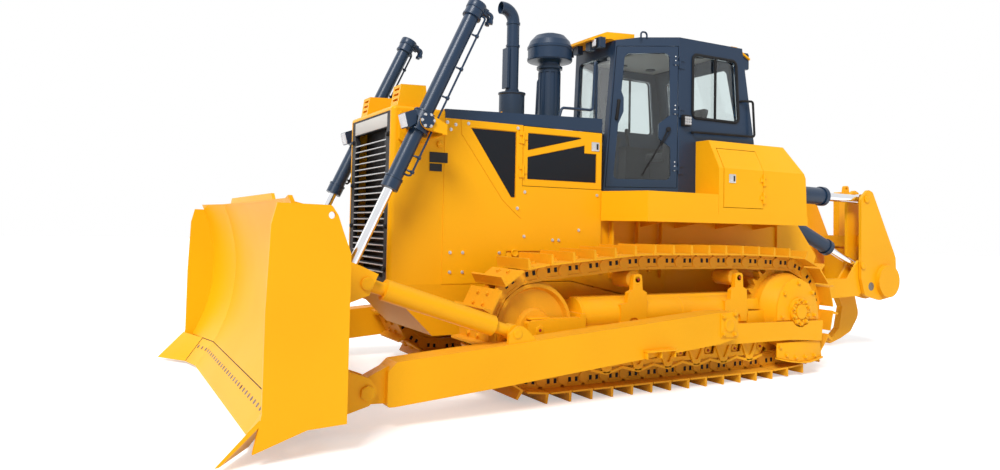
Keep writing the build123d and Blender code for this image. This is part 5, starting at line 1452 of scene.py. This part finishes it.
# %% Panel bolts, tags and knobs
panel_bolts = side_bolts(HOOD, (
    (3744, 1272), (3615, 1272), (3744, 1092), (3615, 1092), (3229, 1270), (3800, 2470), (3715, 2454),
    (3763, 2406), (3584, 2475), (3050, 2475), (2960, 1430), (2631, 1397), (2559, 1397), (3040, 1700),
    (2320, 1500), (2100, 1860), (2960, 1860)))
dress(copies(small_bolt, "panel_bolts", panel_bolts), zinc, "machine")
tags = [block("blank_tag", (x0, way * (HOOD - 1), z0), (x1, way * (HOOD + 2.5), z1), 1, 1)
        for way in (1, -1)
        for x0, x1, z0, z1 in ((3789, 3970, 2091, 2185), (3845, 3967, 2011, 2080))]
dress(joined("blank_tags", tags), black_plastic, "machine")


def knobs(way):
    return [cap("panel_knob", way, 3871, 2261, HOOD, HOOD + 18, 30, 28, 4, 8, 4),
            cap("panel_cap", way, 3065, 1270, HOOD, HOOD + 22, 36, 28, 4, 12, 5)]


fit("panel_knobs", knobs, yellow, "machine")
print(len(panel_bolts), "panel bolts")

# %% [markdown]
# ## Lower covers
# Between the engine's side panel and the track a plain cover closes the frame, with
# upright ribs that carry the fender. A row of large bolts holds it.

# %% Plates between the side panel and the frame
def under_plate(way):
    """Plates under the fender and beside the engine's foot, one row of bolts each."""
    made = [plate("lower_cover", [(1170, 720), (2395, 992), (3150, 992), (3150, 1294), (1170, 1294)],
                  way * 572, way * 588, 3)]
    for x in (1240, 1560, 1900):
        made.append(plate("cover_rib", [(x, 1010), (x + 26, 1010), (x + 26, 1596), (x, 1596)],
                          way * 586, way * 640, 2))
    return made


fit("lower_covers", under_plate, yellow_frame, "machine")
cover_bolts = side_bolts(588, ((1400, 1240), (1480, 1240), (1700, 1240), (1780, 1240), (2050, 1240),
                               (2200, 1240), (1400, 1080), (1700, 1080), (2050, 1080), (2700, 1240)))
dress(copies(large_bolt, "cover_bolts", cover_bolts), yellow_frame, "machine")
print(len(cover_bolts), "cover bolts")

# %% [markdown]
# ## Hood top and stacks
# From above one sees two filler caps, the seams of the hood's plates and the clamping
# bands of the exhaust and the pre-cleaner. Caps and bands are lathe work: a profile of a
# few corners, spun about the vertical.

# %% Hood top: rain caps, filler and seams
tops = [spun("filler_cap", [(0.5, 2652), (40, 2650), (56, 2640), (60, 2622), (60, 2600), (72, 2596),
                            (72, 2585)], x, y, 28) for x, y in ((3600, 0), (3450, 250))]
for x, low, high in ((3200, 2618, 2626), (2600, 2632, 2642), (2450, 2632, 2642)):
    tops.append(block("hood_seam", (x, -560, low), (x + 14, 560, high), 3))
dress(joined("hood_fittings", tops), yellow, "machine")
bands = [spun("stack_band", [(r, z), (r + 8, z), (r + 8, z + 22), (r, z + 22)], x, 0, 36)
         for x, r, z in ((2785, 66, 2945), (2785, 66, 3420), (2785, 66, 3660), (2320, 112, 2700),
                         (2320, 112, 3195), (2320, 238, 3330), (2320, 239, 3452))]
dress(joined("stack_bands", bands), navy, "machine")
print("hood dressed")

# %% [markdown]
# ## Cab
# The door and side window sit in thick rubber seals. Outside there are wipers, a door
# handle, a connector box on the pillar, hand rails and lifting lugs; inside, a pale
# liner under the roof, the levers and the seat.

# %% Door frame of reference
DOOR_START = Vector((1144, 750, 0))
DOOR_ALONG = Vector((1810 - 1144, 312 - 750, 0)).normalized()
DOOR_OUT = Vector((-DOOR_ALONG.y, DOOR_ALONG.x, 0))


def on_door(way, s, z, out=0.0):
    """Point on a cab door: s from the rear pillar, z up, out of its face."""
    p = DOOR_START + DOOR_ALONG * s + DOOR_OUT * out
    return (p.x, way * p.y, z)


print("the door's face looks along", tuple(round(v, 2) for v in DOOR_OUT))

# %% [markdown]
# ## Door hardware
# Each door has a wiper on its own boss, a vertical grip on two feet and screws in its
# hinge leaves. They ride on the door, so they swing with it.


# %% Door hardware
for label, way in (("left", 1), ("right", -1)):
    parts = [pipe("door_wiper", [on_door(way, 120, 2600, 22), on_door(way, 190, 2440, 26),
                                 on_door(way, 380, 2110, 18)], 7, 10, 2, 2),
             pipe("wiper_link", [on_door(way, 100, 2560, 20), on_door(way, 180, 2430, 24)], 5, 0),
             bar("wiper_boss", on_door(way, 110, 2600, 2), on_door(way, 110, 2600, 30), 26, 20, 4),
             bar("door_grip", on_door(way, 664, 2700, 12), on_door(way, 640, 2920, 12), 17, 12, 4),
             bar("grip_foot", on_door(way, 662, 2715, 0), on_door(way, 662, 2715, 14), 20, 12, 3),
             bar("grip_foot", on_door(way, 642, 2905, 0), on_door(way, 642, 2905, 14), 20, 12, 3)]
    dress(joined("cab_door_hardware_" + label, parts), rubber, "cab_door_" + label)
    screws = [bar("hinge_screw", on_door(way, 40, z, 0), on_door(way, 40, z, 7), 8, 6, 1)
              for z0 in (2160, 2770, 3300) for z in (z0, z0 + 45, z0 + 90)]
    dress(joined("cab_hinge_screws_" + label, screws), zinc, "cab_door_" + label)


print("door hardware and hinge screws are on both doors")

# %% [markdown]
# ## Window seals, grips and lugs
# A rubber profile runs round the side window, with the bar of its sliding pane. A rail
# runs below it, and bent lugs on the roof take the hooks of a crane.


# %% Window seals and grips
def window_seal(way):
    """Rubber profile round the side window and its sliding pane's bar."""
    low, high = 2745, 3440
    corners = [(x, way * 754, z) for x, z in ((600, low), (262, low), (310, high), (955, high),
                                              (955, low), (600, low))]
    return [pipe("window_seal", corners, 16, 60, 5, 2),
            block("window_bar", (610, way * 738, 2760), (632, way * 762, 3425), 4)]


fit("side_window_seals", window_seal, rubber, "machine")


def grips(way):
    """Grip rail round the side window's foot, and the connector box beside it."""
    rail = [(240, 752, 2990), (240, 800, 2990), (90, 800, 3000), (60, 800, 2600), (960, 800, 2582),
            (960, 752, 2582)]
    return [pipe("rear_grip", [(x, way * y, z) for x, y, z in rail], 13, 30, 5, 3),
            block("connector_box", (1010, way * 752, 2640), (1120, way * 800, 2760), 5)]


fit("cab_grips", grips, rubber, "machine")
pegs = [facing((1030 + 30 * i, way * 800, 2668 + 30 * k), (0, way, 0)) for way in (1, -1)
        for i in range(3) for k in range(3)]
dress(copies(small_bolt, "connector_caps", pegs), zinc, "machine")
lugs = []
for x in (1480, 420):
    for way in (1, -1):
        lugs.append(pipe("roof_lug", [(x - 40, way * 560, 3590), (x - 40, way * 560, 3650),
                                      (x + 40, way * 560, 3650), (x + 40, way * 560, 3590)],
                         10, 30, 5, 3))
dress(joined("roof_lugs", lugs), navy, "machine")
print("cab hardware: two grips and", len(lugs), "lifting lugs")

# %% [markdown]
# ## Inside the cab
# Through the glass show a pale roof liner with round vents, two lever knobs and a small
# screen. They are kept simple, because tinted glass hides what is finer.

# %% Inside the cab
liner = block("roof_liner", (330, -640, 3520), (1240, 640, 3532), 4)
dress(liner, pale, "machine")
vents = [bar("speaker", (x, y, 3518), (x, y, 3509), 62, 28, 3, 18, 2)
         for x in (560, 1000) for y in (-420, 420)]
dress(joined("liner_vents", vents), black_plastic, "machine")
knob_tops = [spun("lever_knob", [(0.5, 2748), (14, 2744), (22, 2728), (22, 2706), (12, 2690),
                                 (0.5, 2688)], 940, y, 20) for y in (-400, 400)]
dress(joined("lever_knobs", knob_tops), black_plastic, "machine")
dress(block("dash_screens", (1500, -120, 2540), (1512, 120, 2640), 4), black_plastic, "machine")
print("cab fitted out")

# %% [markdown]
# ## Seat
# The driver's seat is two padded blocks: a cushion and a tall back. Each is swollen by
# a short cloth simulation with a little pressure, as foam fills a sewn cover.


# %% Padded seat
def pad(name, points, y0, y1, rise):
    """Pad from an outline in (x, z): remeshed, swollen by cloth pressure, smoothed."""
    piece = plate(name, points, y0, y1, 18)
    only(piece)
    remesh = piece.modifiers.new("even_grid", "REMESH")
    remesh.mode = "VOXEL"
    remesh.voxel_size = 0.014
    bpy.ops.object.modifier_apply(modifier="even_grid")
    rest = [v.co.copy() for v in piece.data.vertices]
    swell = piece.modifiers.new("swell", "CLOTH")
    swell.settings.use_pressure = True
    swell.settings.uniform_pressure_force = 4
    swell.settings.effector_weights.gravity = 0
    for step in range(1, 13):
        bpy.context.scene.frame_set(step)
    bpy.ops.object.modifier_apply(modifier="swell")
    bpy.context.scene.frame_set(1)
    for vertex, start in zip(piece.data.vertices, rest):
        move = vertex.co - start
        if move.length > rise / 1000:
            vertex.co = start + move.normalized() * rise / 1000
    return piece


cushion = pad("seat_cushion", [(390, 2345), (800, 2345), (812, 2425), (430, 2420)], -225, 225, 10)
back = pad("seat_back", [(320, 2440), (410, 2440), (262, 2990), (185, 2980)], -225, 225, 10)
dress(cushion, cloth, "machine", 60)
dress(back, cloth, "machine", 60)
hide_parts("operator_seat")
print("seat pads:", len(cushion.data.vertices) + len(back.data.vertices), "vertices")

# %% [markdown]
# ## Blade
# The cutting edge is bolted along the foot of the moldboard in three lengths with plough
# bolts, and a heavier end bit stands at each corner. A flat strip stiffens each end.

# %% Edge bolts
EDGE_LOW, EDGE_HIGH = Vector((5648, 0, 33)), Vector((5481, 0, 271))
edge_way = (EDGE_HIGH - EDGE_LOW).normalized()
edge_out = Vector((-edge_way.z, 0, edge_way.x)) * -1


def edge_spot(y, up):
    """Point on the edge's front face at y, this far up from its lip."""
    rake = 130 * max(0.0, abs(y) - 1390) / 645
    p = EDGE_LOW + edge_way * up
    return (p.x + rake, y, p.z)


bolts = [facing(edge_spot(y, 190), edge_out) for y in range(-1650, 1651, 110)]
for way in (1, -1):
    for y, up in ((1745, 190), (1800, 190), (1745, 245), (1800, 245), (1860, 190), (1860, 245)):
        bolts.append(facing(edge_spot(way * y, up), edge_out))


head = spun("plough_bolt", [(0.5, 5), (11, 5), (19, 3), (21, -2)], AXIS_SHIFT, 0, 10)
dress(copies(head, "plough_bolts", bolts), edge_steel, "blade")
discard(head)


print(len(bolts), "plough bolts")

# %% [markdown]
# ## Seams and stiffeners
# A thin dark line shows where the edge meets the moldboard and where each end bit begins.
# A flat strip stiffens the rear rim of both end plates.


# %% Seams and end stiffeners
seam = pipe("edge_seam", [edge_spot(y, 288) for y in (-1700, -1390, 1390, 1700)], 4, 0)
ends = [pipe("bit_seam", [edge_spot(way * 1700, up) for up in (4, 288)], 4, 0) for way in (1, -1)]
dress(joined("edge_seams", [seam] + ends), rubber, "blade")


def end_stiffener(way):
    """Flat strip along the rear rim of an end plate."""
    rear = [(5655, 1495), (5505, 1500), (5458, 1452), (5314, 1052), (5193, 668), (5180, 250)]
    front = [(5190, 250), (5205, 664), (5326, 1046), (5468, 1444), (5510, 1488), (5655, 1483)]
    return [plate("end_stiffener", rear + front, way * 2056, way * 2064.5, 2)]


fit("end_stiffeners", end_stiffener, yellow, "blade")
print("seams and stiffeners on the blade")

# %% [markdown]
# ## Ripper
# Its two pairs of cylinders are dark with chrome rods. Pins show round caps.


# %% Ripper pin caps
PIN_CAPS = {"machine": ("mount_pin_caps", ((-760, 1700, 50), (-760, 2005, 52), (-1000, 800, 50))),
            "ripper_carriage": ("carriage_pin_caps", ((-2160, 1115, 48), (-2230, 1980, 50)))}
for body, (name, spots) in PIN_CAPS.items():
    caps = [cap("pin_cap", way, x, z, 586, 600, r, 28, 4, r * 0.3, 4) for way in (1, -1)
            for x, z, r in spots]
    dress(joined(name, caps), yellow_frame, body)
print("ripper dressed")

# %% [markdown]
# ## Clear the bench
# The bolt patterns did their work as copies. They are removed, so that no loose piece
# stays at the origin of the scene.

# %% Tidy the bench
for pattern in (small_bolt, large_bolt):
    discard(pattern)
print("patterns removed")
